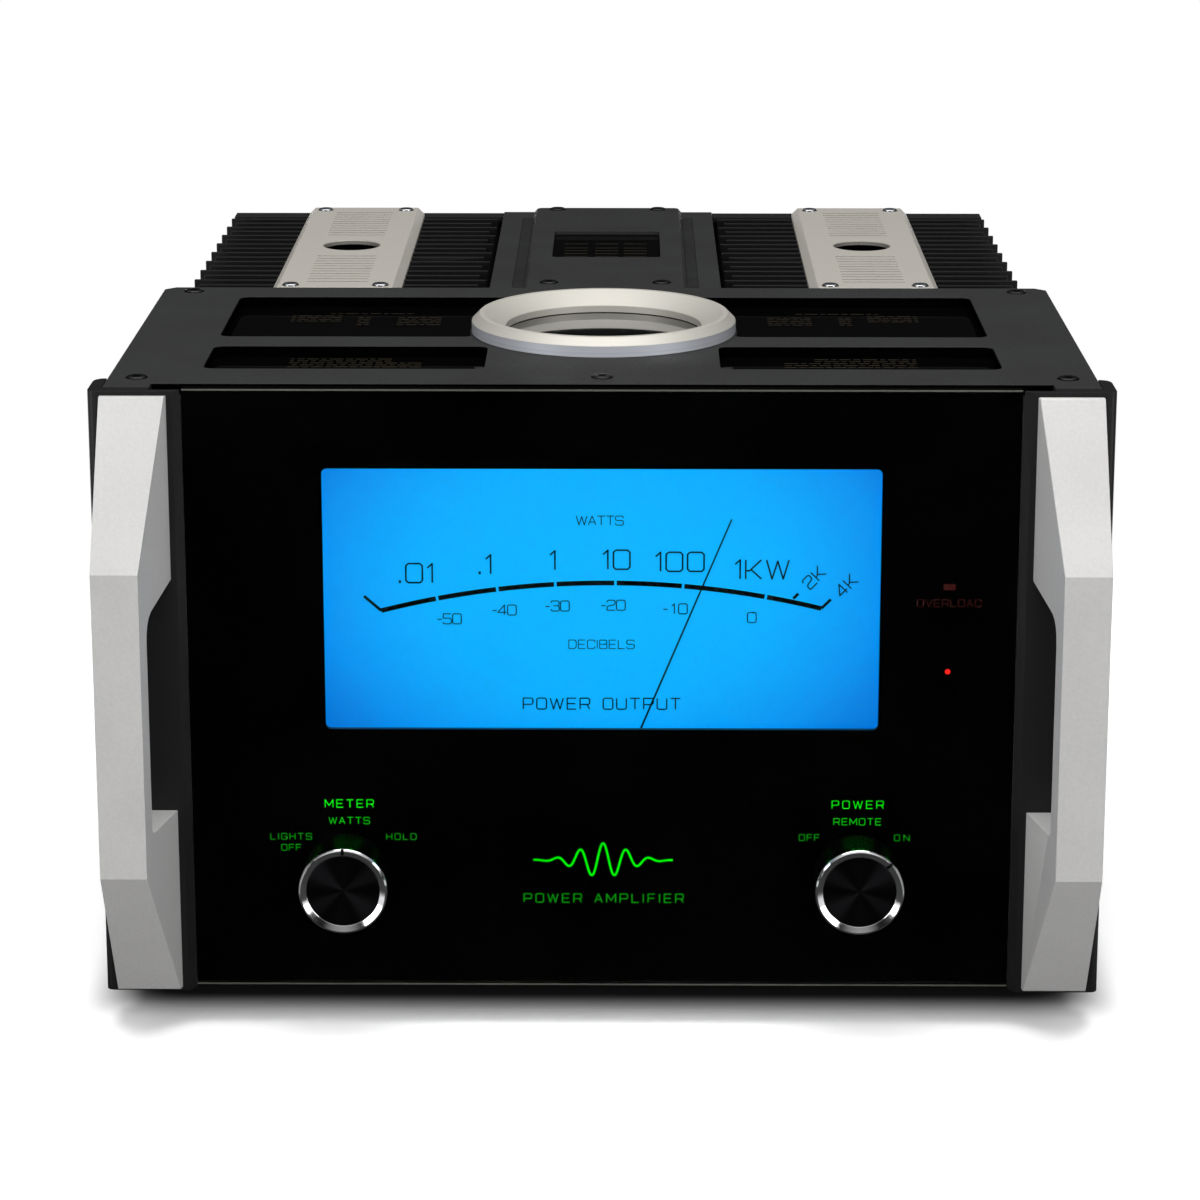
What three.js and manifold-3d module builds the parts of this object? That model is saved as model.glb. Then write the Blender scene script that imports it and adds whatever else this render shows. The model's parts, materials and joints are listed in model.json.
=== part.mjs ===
// Mono power amplifier: a black chassis with a lit output meter behind a glass front,
// two faceted front handles, a top cover with a round bezel and glazed windows,
// and two finned heat-sink banks under silver caps behind it.
// Millimetres, +X to the viewer's right, +Y to the rear, +Z up, standing on its feet at z = 0.
// Inside the model y = 0 is the front face of the end caps; the group is centred at the end.
import * as THREE from 'three';
import { mergeVertices } from 'three/addons/utils/BufferGeometryUtils.js';
import Module from 'manifold-3d';

const wasm = await Module();
wasm.setup();

// Overall chassis
const BODY_WIDTH = 444.5;
const BODY_HEIGHT = 275.5;
const BODY_DEPTH = 469.2;
const FOOT_HEIGHT = 18;
const SEAT = 0.3;
const OVERRUN = 2;

// End caps, one each side of the glass
const END_CAP_WIDTH = 40.15;
const END_CAP_DEPTH = 26;
const END_CAP_FRONT_RADIUS = 4;
const END_CAP_REAR_RADIUS = 6.4;
const END_CAP_LIP = 3.5;
const GLASS_CHAMFER_WIDTH = 3.2;
const COVER_EAR_GAP_FROM_FRONT = 8;

// Front glass and its printed back
const GLASS_SETBACK = 4;
const GLASS_THICKNESS = 6;
const GLASS_BOTTOM_RISE = 1.4;
const GLASS_BEVEL = 0.9;
const GLASS_KNOB_HOLE_RADIUS = 6.5;
const PRINT_THICKNESS = 0.5;
const SUBPANEL_THICKNESS = 3;
const SUBPANEL_DROP = 6;

// Meter
const WINDOW_SIDE_INSET = 59.6;
const WINDOW_TOP_DROP = 36.2;
const WINDOW_RISE = 120.3;
const WINDOW_RADIUS = 2.5;
const PIVOT_DROP = 43.2;
const POINTER_TIP_MARGIN = 12.9;
const POINTER_WIDTH = 0.9;
const POINTER_TIP_WIDTH = 0.6;
const POINTER_THICKNESS = 0.6;
const POINTER_ANGLE = 22.4;
const POINTER_HUB_RADIUS = 4;
const POINTER_TAIL = 14;
const POINTER_TAIL_WIDTH = 3;
const POINTER_AIR = 1.4;
const POINTER_SHAFT_RADIUS = 1;
const DIAL_THICKNESS = 1.5;
const DIAL_MARGIN = 3;
const LIGHT_GUIDE_THICKNESS = 8;
const HOUSING_WALL = 2;
const HOUSING_SIDE_AIR = 1;
const WELL_SIDE_AIR = 34.65;
const MOVEMENT_RADIUS = 14;
const MOVEMENT_DEPTH = 22;
const MOVEMENT_COLLAR_RADIUS = 7;
const MOVEMENT_COLLAR = 4;

// Knobs and their rotary switches
const KNOB_INSET = 68.15;
const KNOB_RISE = 54.6;
const KNOB_REACH = 21;
const KNOB_GLASS_AIR = 0.8;
const KNOB_FACE_RECESS = 1.4;
const KNOB_RING_RADIUS = 19.7;
const KNOB_RING_WIDTH = 3.5;
const KNOB_RING_LIP = 0.9;
const KNOB_RING_DEPTH = 3.6;
const KNOB_RING_BEVEL = 1.6;
const KNOB_NOTCH_WIDTH = 1.4;
const KNOB_NOTCH_DEPTH = 0.9;
const POWER_KNOB_ANGLE = -46;
const METER_KNOB_ANGLE = 0;
const SHAFT_RADIUS = 3;
const SHAFT_CLEARANCE = 0.35;
const SHAFT_BITE = 14;
const BUSHING_RADIUS = 4.8;
const BUSHING_REACH = 6;
const SWITCH_SIDE = 30;
const SWITCH_DEPTH = 16;
const SWITCH_SOCKET = 6;

// Indicator lamps
const LAMP_INSET = 29.3;
const POWER_LAMP_DROP = 127.9;
const POWER_LAMP_RADIUS = 1.15;
const GUARD_LAMP_DROP = 89.2;
const GUARD_LAMP_WIDTH = 5.2;
const GUARD_LAMP_HEIGHT = 2.6;
const LAMP_BOARD_THICKNESS = 1.6;
const LAMP_BOARD_MARGIN = 9;

// Handles
const HANDLE_WIDTH = 29.4;
const HANDLE_OUTER_INSET = 5;
const HANDLE_OUTER_TAPER = 0.7;
const HANDLE_REACH = 41;
const HANDLE_EDGE = 3;
const HANDLE_TOP_DROP = 1.9;
const HANDLE_TOP_SLOPE = 69.1;
const HANDLE_FOOT_RISE = 1.7;
const HANDLE_FOOT_SLOPE = 66;
const GRIP_WIDTH = 20.4;
const GRIP_DEPTH = 8.5;
const FINGER_GAP_TOP_DROP = 84;
const FINGER_GAP_RISE = 85.3;
const FINGER_GAP_FLARE = 8;
const FINGER_GAP_RADIUS = 12;
const FINGER_GAP_EASE_SHARE = 0.8;
const FINGER_GAP_FOOT_RADIUS = 3;

// Top cover, its windows and the bezel
const COVER_THICKNESS = 4.6;
const COVER_SIDE_INSET = 5.75;
const COVER_FRONT = 15.9;
const COVER_REAR = 234.6;
const COVER_EAR_WIDTH = 20.5;
const COVER_CORNER = 5;
const BEZEL_SETBACK = 103.3;
const BEZEL_RADIUS = 61.3;
const BEZEL_WALL = 4.8;
const BEZEL_CHAMFER = 3.7;
const BEZEL_CREST = 2.4;
const BEZEL_LIP = 3.6;
const BEZEL_EDGE_HEIGHT = 2.7;
const BEZEL_INNER_WALL = 3.2;
const BEZEL_FLANGE = 9.7;
const BEZEL_SPIGOT_WALL = 2.6;
const BADGE_DROP = 0.8;
const BADGE_THICKNESS = 2.4;
const WINDOW_ARC_MARGIN = 0.8;
const BRIDGE_WIDTH = 60;
const WINDOW_SIDE_MARGIN = 39.2;
const TOP_WINDOW_CORNER = 5;
const REAR_WINDOW_FRONT = 116.4;
const REAR_WINDOW_MARGIN = 23.6;
const FRONT_WINDOW_FRONT = 46.6;
const FRONT_WINDOW_REAR = 95.2;
const FRONT_WINDOW_INNER = 52.4;
const PANE_THICKNESS = 3;
const PANE_LAP = 6;
const PANE_SPIGOT_AIR = 2.4;

// Sheet-metal shell
const SHEET = 2;
const TRAY_THICKNESS = 2.5;
const TRAY_RISE = 0.5;
const TRAY_FLANGE = 16;
const REAR_SHEET = 2.5;
const REAR_FLANGE = 11.5;
const REAR_SIDE_INSET = 1;
const SIDE_WALL_DROP = 8;

// Central deck with the spine cover over it
const DECK_WIDTH = 115;
const DECK_DROP = 2.3;
const DECK_SHEET = 2.2;
const SPINE_WIDTH = 81;
const SPINE_THICKNESS = 2;
const SPINE_BEVEL = 1.7;
const SPINE_CORNER = 3.5;
const SPINE_WINDOW_WIDTH = 55.8;
const SPINE_WINDOW_LENGTH = 75.4;
const SPINE_WINDOW_SHIFT = 4.65;
const SPINE_WINDOW_RADIUS = 2.5;
const VENT_WIDTH = 5.5;
const VENT_FRONT_MARGIN = 5.1;
const VENT_REAR_MARGIN = 18.4;
const VENT_DEPTH = 1.2;

// Heat sinks and their caps
const CAP_WIDTH = 64;
const CAP_THICKNESS = 6;
const CAP_BEVEL = 3.6;
const CAP_HOLE_RADIUS = 14.7;
const CAP_GROOVE_LENGTH = 30.5;
const CAP_GROOVE_WIDTH = 1.6;
const CAP_GROOVE_DEPTH = 0.9;
const CAP_GROOVE_PITCH = 6.9;
const CAP_GROOVES = 11;
const CAP_GROOVE_CENTRE_SPACING = 130.2;
const CORE_THICKNESS = 10;
const FIN_DROP = 3.5;
const FIN_COUNT = 17;
const FIN_FRONT_MARGIN = 12.7;
const FIN_REAR_MARGIN = 16.4;
const FIN_ROOT = 3.4;
const FIN_TIP = 2.4;
const FIN_SIDE_INSET = 15.25;
const FIN_DECK_AIR = 2.5;
const FIN_STEP = 3.6;

// Electronics inside
const BOARD_THICKNESS = 1.6;
const OUTPUT_BOARD_DROP = 36.2;
const OUTPUT_BOARD_RISE = 30;
const TRANSISTOR_COUNT = 8;
const TRANSISTOR_WIDTH = 16;
const TRANSISTOR_HEIGHT = 21;
const TRANSISTOR_DEPTH = 5;
const TRANSISTOR_ROW_RISE = 60;
const POWER_CAN_SIDE_MARGIN = 42.25;
const POWER_CAN_MIDDLE_MARGIN = 30;
const POWER_CAN_END_AIR = 14.3;
const POWER_CAN_HEIGHT = 132;
const OUTPUT_CAN_SIDE_MARGIN = 52.25;
const OUTPUT_CAN_MIDDLE_MARGIN = 40;
const OUTPUT_CAN_END_AIR = 19.3;
const OUTPUT_CAN_HEIGHT = 117;
const CAN_RADIUS = 10;
const CAN_FLANGE = 8;
const CAN_FLANGE_THICKNESS = 3;
const CAPACITOR_SIDE_AIR = 5.8;
const CAPACITOR_GAP = 1.5;
const CAPACITOR_HEIGHT = 120;
const CAPACITOR_CRIMP = 1.5;
const CAPACITOR_CRIMP_DROP = 6;
const CAPACITOR_SETBACK = 50.4;
const CONTROL_BOARD_HEIGHT = 150;
const CONTROL_BOARD_LENGTH = 110;
const CONTROL_BOARD_MARGIN = 29.2;
const CONTROL_BOARD_AIR = 2;

// Rear connectors
const INLET_OFFSET = 0;
const INLET_RISE = 50.5;
const INLET_WIDTH = 30;
const INLET_HEIGHT = 26;
const INLET_FLANGE = 5;
const INLET_FLANGE_THICKNESS = 3;
const INLET_DEPTH = 24;
const INLET_SOCKET_INSET = 4;
const INLET_SOCKET_DEPTH = 16;
const JACK_DROP = 80;
const BALANCED_OFFSET = 0;
const BALANCED_FLANGE_WIDTH = 26;
const BALANCED_FLANGE_HEIGHT = 31;
const BALANCED_RADIUS = 11.5;
const BALANCED_SOCKET_RADIUS = 9;
const BALANCED_SOCKET_DEPTH = 14;
const BALANCED_DEPTH = 22;
const PHONO_OFFSET = 32;
const PHONO_FLANGE_RADIUS = 7;
const PHONO_RADIUS = 4.2;
const PHONO_REACH = 9;
const PHONO_BODY_RADIUS = 5;
const PHONO_BODY_DEPTH = 10;
const TRIGGER_OFFSET = -32;
const TRIGGER_NUT_RADIUS = 5;
const TRIGGER_BORE_RADIUS = 1.8;
const TRIGGER_BODY_RADIUS = 4;
const TRIGGER_BODY_DEPTH = 14;
const JACK_FLANGE_THICKNESS = 2.4;
const TERMINAL_SPACING = 24;
const TERMINAL_COUNT = 4;
const TERMINAL_BLOCK_HEIGHT = 30;
const TERMINAL_BLOCK_THICKNESS = 6;
const TERMINAL_STEM_RADIUS = 3.5;
const TERMINAL_STEM_REACH = 20;
const TERMINAL_CAP_RADIUS = 8;
const TERMINAL_CAP_LENGTH = 15;
const TERMINAL_CAP_AIR = 5;
const TERMINAL_BORE_CLEARANCE = 0.4;

// Feet
const FOOT_RADIUS = 26;
const FOOT_TAPER = 3;
const FOOT_HOLLOW_RADIUS = 9;
const FOOT_HOLLOW_DEPTH = 6;
const FOOT_INSET = 54.25;
const FOOT_FRONT = 72;
const FOOT_REAR_MARGIN = 69.2;

// Facet counts
const ROUND_STEPS = 48;
const KNOB_STEPS = 40;
const FOOT_STEPS = 24;
const SMALL_ROUND_STEPS = 20;
const CORNER_STEPS = 5;
const MERGE_TOLERANCE = 0.0001;

// Places that follow from the sizes above
const TOP = FOOT_HEIGHT + BODY_HEIGHT;
const HALF_WIDTH = BODY_WIDTH / 2;
const GLASS_HALF = HALF_WIDTH - END_CAP_WIDTH - SEAT;
const GLASS_BACK = GLASS_SETBACK + GLASS_THICKNESS;
const PRINT_FRONT = GLASS_BACK + SEAT;
const SUBPANEL_FRONT = PRINT_FRONT + PRINT_THICKNESS + SEAT;
const SUBPANEL_BACK = SUBPANEL_FRONT + SUBPANEL_THICKNESS;
const HOUSING_FRONT = SUBPANEL_BACK + SEAT;
const POINTER_FRONT = HOUSING_FRONT + POINTER_AIR;
const POINTER_BACK = POINTER_FRONT + POINTER_THICKNESS;
const DIAL_FRONT = POINTER_BACK + POINTER_AIR;
const DIAL_BACK = DIAL_FRONT + DIAL_THICKNESS;
const GUIDE_FRONT = DIAL_BACK + SEAT;
const GUIDE_BACK = GUIDE_FRONT + LIGHT_GUIDE_THICKNESS;
const HOUSING_DEEP = DIAL_FRONT + MOVEMENT_COLLAR + MOVEMENT_DEPTH + SEAT;
const WINDOW_TOP = TOP - WINDOW_TOP_DROP;
const WINDOW_BOTTOM = FOOT_HEIGHT + WINDOW_RISE;
const WINDOW_HALF = GLASS_HALF - WINDOW_SIDE_INSET;
const PIVOT_HEIGHT = WINDOW_BOTTOM - PIVOT_DROP;
const POINTER_LENGTH = WINDOW_TOP - PIVOT_HEIGHT - POINTER_TIP_MARGIN;
const LAMP_OFFSET = GLASS_HALF - LAMP_INSET;
const KNOB_OFFSET = GLASS_HALF - KNOB_INSET;
const WELL_HALF = KNOB_OFFSET - SWITCH_SIDE / 2 - WELL_SIDE_AIR - HOUSING_WALL;
const KNOB_HEIGHT = FOOT_HEIGHT + KNOB_RISE;
const KNOB_RADIUS = KNOB_RING_RADIUS - KNOB_RING_LIP;
const KNOB_FACE_RADIUS = KNOB_RING_RADIUS - KNOB_RING_WIDTH - SEAT;
const COVER_BOTTOM = TOP - COVER_THICKNESS;
const COVER_WIDTH = BODY_WIDTH - 2 * COVER_SIDE_INSET;
const COVER_NOTCH_WIDTH = COVER_WIDTH - 2 * COVER_EAR_WIDTH;
const COVER_EAR_FRONT = COVER_EAR_GAP_FROM_FRONT + SEAT;
const TOP_WINDOW_OUTER = COVER_WIDTH / 2 - WINDOW_SIDE_MARGIN;
const REAR_WINDOW_REAR = COVER_REAR - REAR_WINDOW_MARGIN;
const BEZEL_CENTRE = COVER_REAR - BEZEL_SETBACK;
const WINDOW_ARC_RADIUS = BEZEL_RADIUS + WINDOW_ARC_MARGIN;
const BEZEL_SPIGOT_RADIUS = BEZEL_RADIUS - BEZEL_FLANGE;
const BEZEL_SPIGOT_INNER = BEZEL_SPIGOT_RADIUS - BEZEL_SPIGOT_WALL;
const BEZEL_BORE_RADIUS = BEZEL_SPIGOT_INNER - BEZEL_LIP;
const PANE_ARC_RADIUS = BEZEL_SPIGOT_RADIUS + PANE_SPIGOT_AIR;
const TRAY_BOTTOM = FOOT_HEIGHT + TRAY_RISE;
const TRAY_TOP = TRAY_BOTTOM + TRAY_THICKNESS;
const PANE_TOP = COVER_BOTTOM - SEAT;
const FIN_TOP = TOP - FIN_DROP;
const CAP_BOTTOM = TOP - CAP_THICKNESS;
const CORE_TOP = CAP_BOTTOM - SEAT;
const DECK_TOP = TOP - DECK_DROP;
const REAR_INSIDE = BODY_DEPTH - REAR_SHEET;
const REAR_BANK_FRONT = COVER_REAR + SEAT;
const REAR_BANK_REAR = REAR_INSIDE - SEAT;
const FIN_FIRST = REAR_BANK_FRONT + FIN_FRONT_MARGIN;
const FIN_PITCH = (REAR_BANK_REAR - FIN_REAR_MARGIN - FIN_FIRST) / (FIN_COUNT - 1);
const FIN_OUTER_TIP = HALF_WIDTH - FIN_SIDE_INSET;
const FIN_INNER_TIP = DECK_WIDTH / 2 + FIN_DECK_AIR;
const CAP_OFFSET = (FIN_OUTER_TIP + FIN_INNER_TIP) / 2;
const REAR_HALF = FIN_OUTER_TIP - REAR_SIDE_INSET;
const CAPACITOR_RADIUS = (DECK_WIDTH / 2 - DECK_SHEET - CAPACITOR_SIDE_AIR - CAPACITOR_GAP) / 2;
const SPINE_BOTTOM = DECK_TOP + SEAT;
const SPINE_WINDOW_CENTRE = (REAR_BANK_FRONT + REAR_BANK_REAR) / 2 + SPINE_WINDOW_SHIFT;
const SPINE_WINDOW_FRONT = SPINE_WINDOW_CENTRE - SPINE_WINDOW_LENGTH / 2;
const SPINE_WINDOW_REAR = SPINE_WINDOW_CENTRE + SPINE_WINDOW_LENGTH / 2;
const INNER_CORE = CAP_OFFSET - CAP_WIDTH / 2 + SEAT;
const OUTER_CORE = CAP_OFFSET + CAP_WIDTH / 2 - SEAT;
const FRONT_REACH = HANDLE_REACH + SEAT;
const REAR_REACH = BODY_DEPTH + SEAT + TERMINAL_BLOCK_THICKNESS + TERMINAL_STEM_REACH;

// Geometry helpers

/** A box between two corners. */
function box(x0, y0, z0, x1, y1, z1) {
  const geometry = new THREE.BoxGeometry(x1 - x0, y1 - y0, z1 - z0);
  return geometry.translate((x0 + x1) / 2, (y0 + y1) / 2, (z0 + z1) / 2);
}

/** A closed outline from [a, b] points. */
function outline(points) {
  return new THREE.Shape(points.map(([a, b]) => new THREE.Vector2(a, b)));
}

/** A rectangle with rounded corners, as a shape or a hole. */
function roundedRectangle(a0, b0, a1, b1, radius, Kind = THREE.Shape) {
  const path = new Kind();
  path.moveTo(a0 + radius, b0);
  path.lineTo(a1 - radius, b0);
  path.absarc(a1 - radius, b0 + radius, radius, -Math.PI / 2, 0);
  path.lineTo(a1, b1 - radius);
  path.absarc(a1 - radius, b1 - radius, radius, 0, Math.PI / 2);
  path.lineTo(a0 + radius, b1);
  path.absarc(a0 + radius, b1 - radius, radius, Math.PI / 2, Math.PI);
  path.lineTo(a0, b0 + radius);
  path.absarc(a0 + radius, b0 + radius, radius, Math.PI, Math.PI * 1.5);
  return path;
}

/** A plain rectangle, as a shape or a hole. */
function rectangle(a0, b0, a1, b1, Kind = THREE.Shape) {
  const corners = [[a0, b0], [a1, b0], [a1, b1], [a0, b1]];
  return new Kind(corners.map(([a, b]) => new THREE.Vector2(a, b)));
}

/** A round hole with as many sides as the turned piece that goes through it. */
function roundHole(a, b, radius, steps = SMALL_ROUND_STEPS) {
  const points = Array.from({ length: steps }, (unused, step) => {
    const angle = (step / steps) * Math.PI * 2;
    return new THREE.Vector2(a + radius * Math.cos(angle), b + radius * Math.sin(angle));
  });
  return new THREE.Path(points);
}

/** Extrudes a shape drawn in x and y upwards from z0 to z1. */
function extrudeUp(shape, z0, z1, curveSegments = CORNER_STEPS) {
  const options = { depth: z1 - z0, bevelEnabled: false, curveSegments };
  return new THREE.ExtrudeGeometry(shape, options).translate(0, 0, z0);
}

/** Extrudes a shape drawn in x and z backwards from y0 to y1. */
function extrudeBack(shape, y0, y1, curveSegments = CORNER_STEPS) {
  const options = { depth: y1 - y0, bevelEnabled: false, curveSegments };
  return new THREE.ExtrudeGeometry(shape, options).rotateX(Math.PI / 2).translate(0, y1, 0);
}

/** Extrudes a shape drawn in y and z sideways from x0 to x1. */
function extrudeSide(shape, x0, x1, curveSegments = CORNER_STEPS) {
  const options = { depth: Math.abs(x1 - x0), bevelEnabled: false, curveSegments };
  const turn = new THREE.Matrix4().makeBasis(
    new THREE.Vector3(0, 1, 0),
    new THREE.Vector3(0, 0, 1),
    new THREE.Vector3(1, 0, 0),
  );
  const geometry = new THREE.ExtrudeGeometry(shape, options).applyMatrix4(turn);
  return geometry.translate(Math.min(x0, x1), 0, 0);
}

/** A turned solid whose axis is z: profile points are [radius, z]. */
function turned(profile, steps = ROUND_STEPS) {
  const points = profile.map(([radius, z]) => new THREE.Vector2(radius, z));
  return new THREE.LatheGeometry(points, steps).rotateX(Math.PI / 2);
}

/** A turned solid whose axis runs along y: profile points are [radius, y]. */
function turnedAlongDepth(profile, steps = SMALL_ROUND_STEPS) {
  const points = profile.map(([radius, y]) => new THREE.Vector2(radius, y));
  return new THREE.LatheGeometry(points, steps);
}

/** A cylinder along y between y0 and y1. */
function rod(radius, y0, y1, steps = SMALL_ROUND_STEPS) {
  return new THREE.CylinderGeometry(radius, radius, y1 - y0, steps).translate(0, (y0 + y1) / 2, 0);
}

/** A geometry as a manifold solid. */
function solid(geometry) {
  const bare = geometry.index ? geometry.toNonIndexed() : geometry.clone();
  bare.deleteAttribute('normal');
  bare.deleteAttribute('uv');
  const merged = mergeVertices(bare, MERGE_TOLERANCE);
  return new wasm.Manifold(new wasm.Mesh({
    numProp: 3,
    vertProperties: new Float32Array(merged.attributes.position.array),
    triVerts: new Uint32Array(merged.index.array),
  }));
}

/** A manifold solid as a geometry. */
function geometryOf(manifold) {
  const mesh = manifold.getMesh();
  const geometry = new THREE.BufferGeometry();
  geometry.setAttribute('position', new THREE.BufferAttribute(new Float32Array(mesh.vertProperties), 3));
  geometry.setIndex(new THREE.BufferAttribute(new Uint32Array(mesh.triVerts), 1));
  return geometry;
}

/** The first geometry with the others cut away. */
function cut(base, ...tools) {
  return geometryOf(tools.reduce((rest, tool) => rest.subtract(solid(tool)), solid(base)));
}

/** All geometries joined into one. */
function join(base, ...others) {
  return geometryOf(others.reduce((whole, other) => whole.add(solid(other)), solid(base)));
}

/** What two geometries have in common. */
function common(first, second) {
  return geometryOf(solid(first).intersect(solid(second)));
}

// Finishes

const finish = (color, roughness, metalness, more = {}) => () =>
  new THREE.MeshStandardMaterial({ color, roughness, metalness, ...more });

const blackPaint = finish(0x2a2a2c, 0.55, 0.1);
const blackAnodised = finish(0x1c1c1e, 0.5, 0.6);
const darkCover = finish(0x38383a, 0.5, 0.3);
const silverPowder = finish(0xcfcfcc, 0.55, 0.5);
const warmSilver = finish(0xcfc9be, 0.4, 0.8);
const brushedSilver = finish(0xd8d3c8, 0.35, 0.9);
const chrome = finish(0xe8e8ea, 0.12, 1);
const glossBlack = finish(0x050506, 0.15, 0);
const clearGlass = finish(0x101014, 0.05, 0, { transparent: true, opacity: 0.35 });
const blackPrint = finish(0x020203, 0.3, 0);
const dialBlue = finish(0x00a8ff, 0.4, 0);
const acrylic = finish(0xdff2ff, 0.2, 0);
const needleBlack = finish(0x08090c, 0.5, 0.2);
const steel = finish(0x9a9a9a, 0.4, 0.9);
const rubber = finish(0x161616, 0.9, 0);
const circuitBoard = finish(0x1d5a34, 0.6, 0);
const canSleeve = finish(0x1a2438, 0.5, 0.1);
const contactPlastic = finish(0x101012, 0.5, 0);
const gold = finish(0xc9a24a, 0.3, 1);

const amplifier = new THREE.Group();

/** Adds one named piece to a group, at a place. */
function piece(name, geometry, material, place = [0, 0, 0], group = amplifier) {
  const mesh = new THREE.Mesh(geometry, material());
  mesh.name = name;
  mesh.position.set(...place);
  group.add(mesh);
  return mesh;
}

const SIDES = { left: -1, right: 1 };

// Shell

function buildTray() {
  const half = COVER_WIDTH / 2 - SHEET - 2 * SEAT;
  const front = END_CAP_DEPTH + SEAT;
  const rear = COVER_REAR - SHEET - SEAT;
  const plan = outline([
    [-GLASS_HALF, SUBPANEL_BACK + SEAT],
    [GLASS_HALF, SUBPANEL_BACK + SEAT],
    [GLASS_HALF, front],
    [half, front],
    [half, REAR_INSIDE - SEAT],
    [-half, REAR_INSIDE - SEAT],
    [-half, front],
    [-GLASS_HALF, front],
  ]);
  const floor = extrudeUp(plan, TRAY_BOTTOM, TRAY_TOP);
  const flanges = Object.values(SIDES).map((side) => box(
    Math.min(side * half, side * (half - SHEET)), front, TRAY_BOTTOM,
    Math.max(side * half, side * (half - SHEET)), rear, TRAY_TOP + TRAY_FLANGE,
  ));
  piece('base_tray', join(floor, ...flanges), blackPaint);
}

function buildFeet() {
  const profile = [
    [0, FOOT_HOLLOW_DEPTH],
    [FOOT_HOLLOW_RADIUS, FOOT_HOLLOW_DEPTH],
    [FOOT_HOLLOW_RADIUS, 0],
    [FOOT_RADIUS - FOOT_TAPER, 0],
    [FOOT_RADIUS, FOOT_TAPER],
    [FOOT_RADIUS, TRAY_BOTTOM - SEAT],
    [0, TRAY_BOTTOM - SEAT],
  ];
  const rows = { front: FOOT_FRONT, rear: BODY_DEPTH - FOOT_REAR_MARGIN };
  for (const [sideName, side] of Object.entries(SIDES)) {
    for (const [rowName, row] of Object.entries(rows)) {
      const place = [side * (HALF_WIDTH - FOOT_INSET), row, 0];
      piece(`foot_${rowName}_${sideName}`, turned(profile, FOOT_STEPS), rubber, place);
    }
  }
}

/** The plan of an end cap: chamfered beside the glass, rounded at its two outer corners. */
function endCapPlan(side) {
  const inner = GLASS_HALF + SEAT;
  const shape = new THREE.Shape();
  shape.moveTo(side * inner, GLASS_SETBACK);
  shape.lineTo(side * (inner + GLASS_CHAMFER_WIDTH), 0);
  shape.lineTo(side * (HALF_WIDTH - END_CAP_FRONT_RADIUS), 0);
  shape.quadraticCurveTo(side * HALF_WIDTH, 0, side * HALF_WIDTH, END_CAP_FRONT_RADIUS);
  shape.lineTo(side * HALF_WIDTH, END_CAP_DEPTH - END_CAP_REAR_RADIUS);
  shape.quadraticCurveTo(
    side * HALF_WIDTH, END_CAP_DEPTH, side * (HALF_WIDTH - END_CAP_REAR_RADIUS), END_CAP_DEPTH,
  );
  shape.lineTo(side * inner, END_CAP_DEPTH);
  return shape;
}

/** A box on one side of the amplifier, between two distances from the middle. */
function sideBox(side, near, far, y0, y1, z0, z1) {
  return box(Math.min(side * near, side * far), y0, z0, Math.max(side * near, side * far), y1, z1);
}

function buildEndCaps() {
  const floor = COVER_BOTTOM - SEAT;
  const behind = END_CAP_DEPTH + OVERRUN;
  const above = TOP + OVERRUN;
  for (const [name, side] of Object.entries(SIDES)) {
    const slot = sideBox(
      side, GLASS_HALF - OVERRUN, COVER_NOTCH_WIDTH / 2, END_CAP_LIP, behind, floor, above,
    );
    const ear = sideBox(
      side, COVER_NOTCH_WIDTH / 2 - OVERRUN, COVER_WIDTH / 2 + SEAT,
      COVER_EAR_GAP_FROM_FRONT, behind, floor, above,
    );
    piece(`end_cap_${name}`, cut(extrudeUp(endCapPlan(side), FOOT_HEIGHT, TOP), slot, ear), blackAnodised);
  }
}

function buildSidePanels() {
  const far = COVER_WIDTH / 2 - SEAT;
  for (const [name, side] of Object.entries(SIDES)) {
    const panel = sideBox(
      side, far - SHEET, far, END_CAP_DEPTH + SEAT, COVER_REAR, TRAY_BOTTOM, COVER_BOTTOM - SEAT,
    );
    piece(`side_panel_${name}`, panel, blackPaint);
  }
}

function buildBulkhead() {
  const half = COVER_WIDTH / 2 - SHEET - 2 * SEAT;
  const plate = box(
    -half, COVER_REAR - SHEET, TRAY_TOP + SEAT, half, COVER_REAR, TOP - SIDE_WALL_DROP,
  );
  piece('bulkhead', plate, blackPaint);
}

// Front: glass, print and the panel that carries them

function switchHoles(radius, y0, y1) {
  return Object.values(SIDES).map((side) =>
    rod(radius, y0, y1).translate(side * KNOB_OFFSET, 0, KNOB_HEIGHT));
}

function buildFrontGlass() {
  const bottom = FOOT_HEIGHT + GLASS_BOTTOM_RISE;
  const profile = outline([
    [GLASS_SETBACK + GLASS_BEVEL, bottom],
    [GLASS_BACK, bottom],
    [GLASS_BACK, TOP],
    [GLASS_SETBACK + GLASS_BEVEL, TOP],
    [GLASS_SETBACK, TOP - GLASS_BEVEL],
    [GLASS_SETBACK, bottom + GLASS_BEVEL],
  ]);
  const sheet = extrudeSide(profile, -GLASS_HALF, GLASS_HALF);
  const holes = switchHoles(GLASS_KNOB_HOLE_RADIUS, 0, GLASS_BACK + OVERRUN);
  piece('front_glass', cut(sheet, ...holes), clearGlass);
}

function meterOpening(margin) {
  return roundedRectangle(
    -WINDOW_HALF - margin, WINDOW_BOTTOM - margin,
    WINDOW_HALF + margin, WINDOW_TOP + margin, WINDOW_RADIUS, THREE.Path,
  );
}

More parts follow.
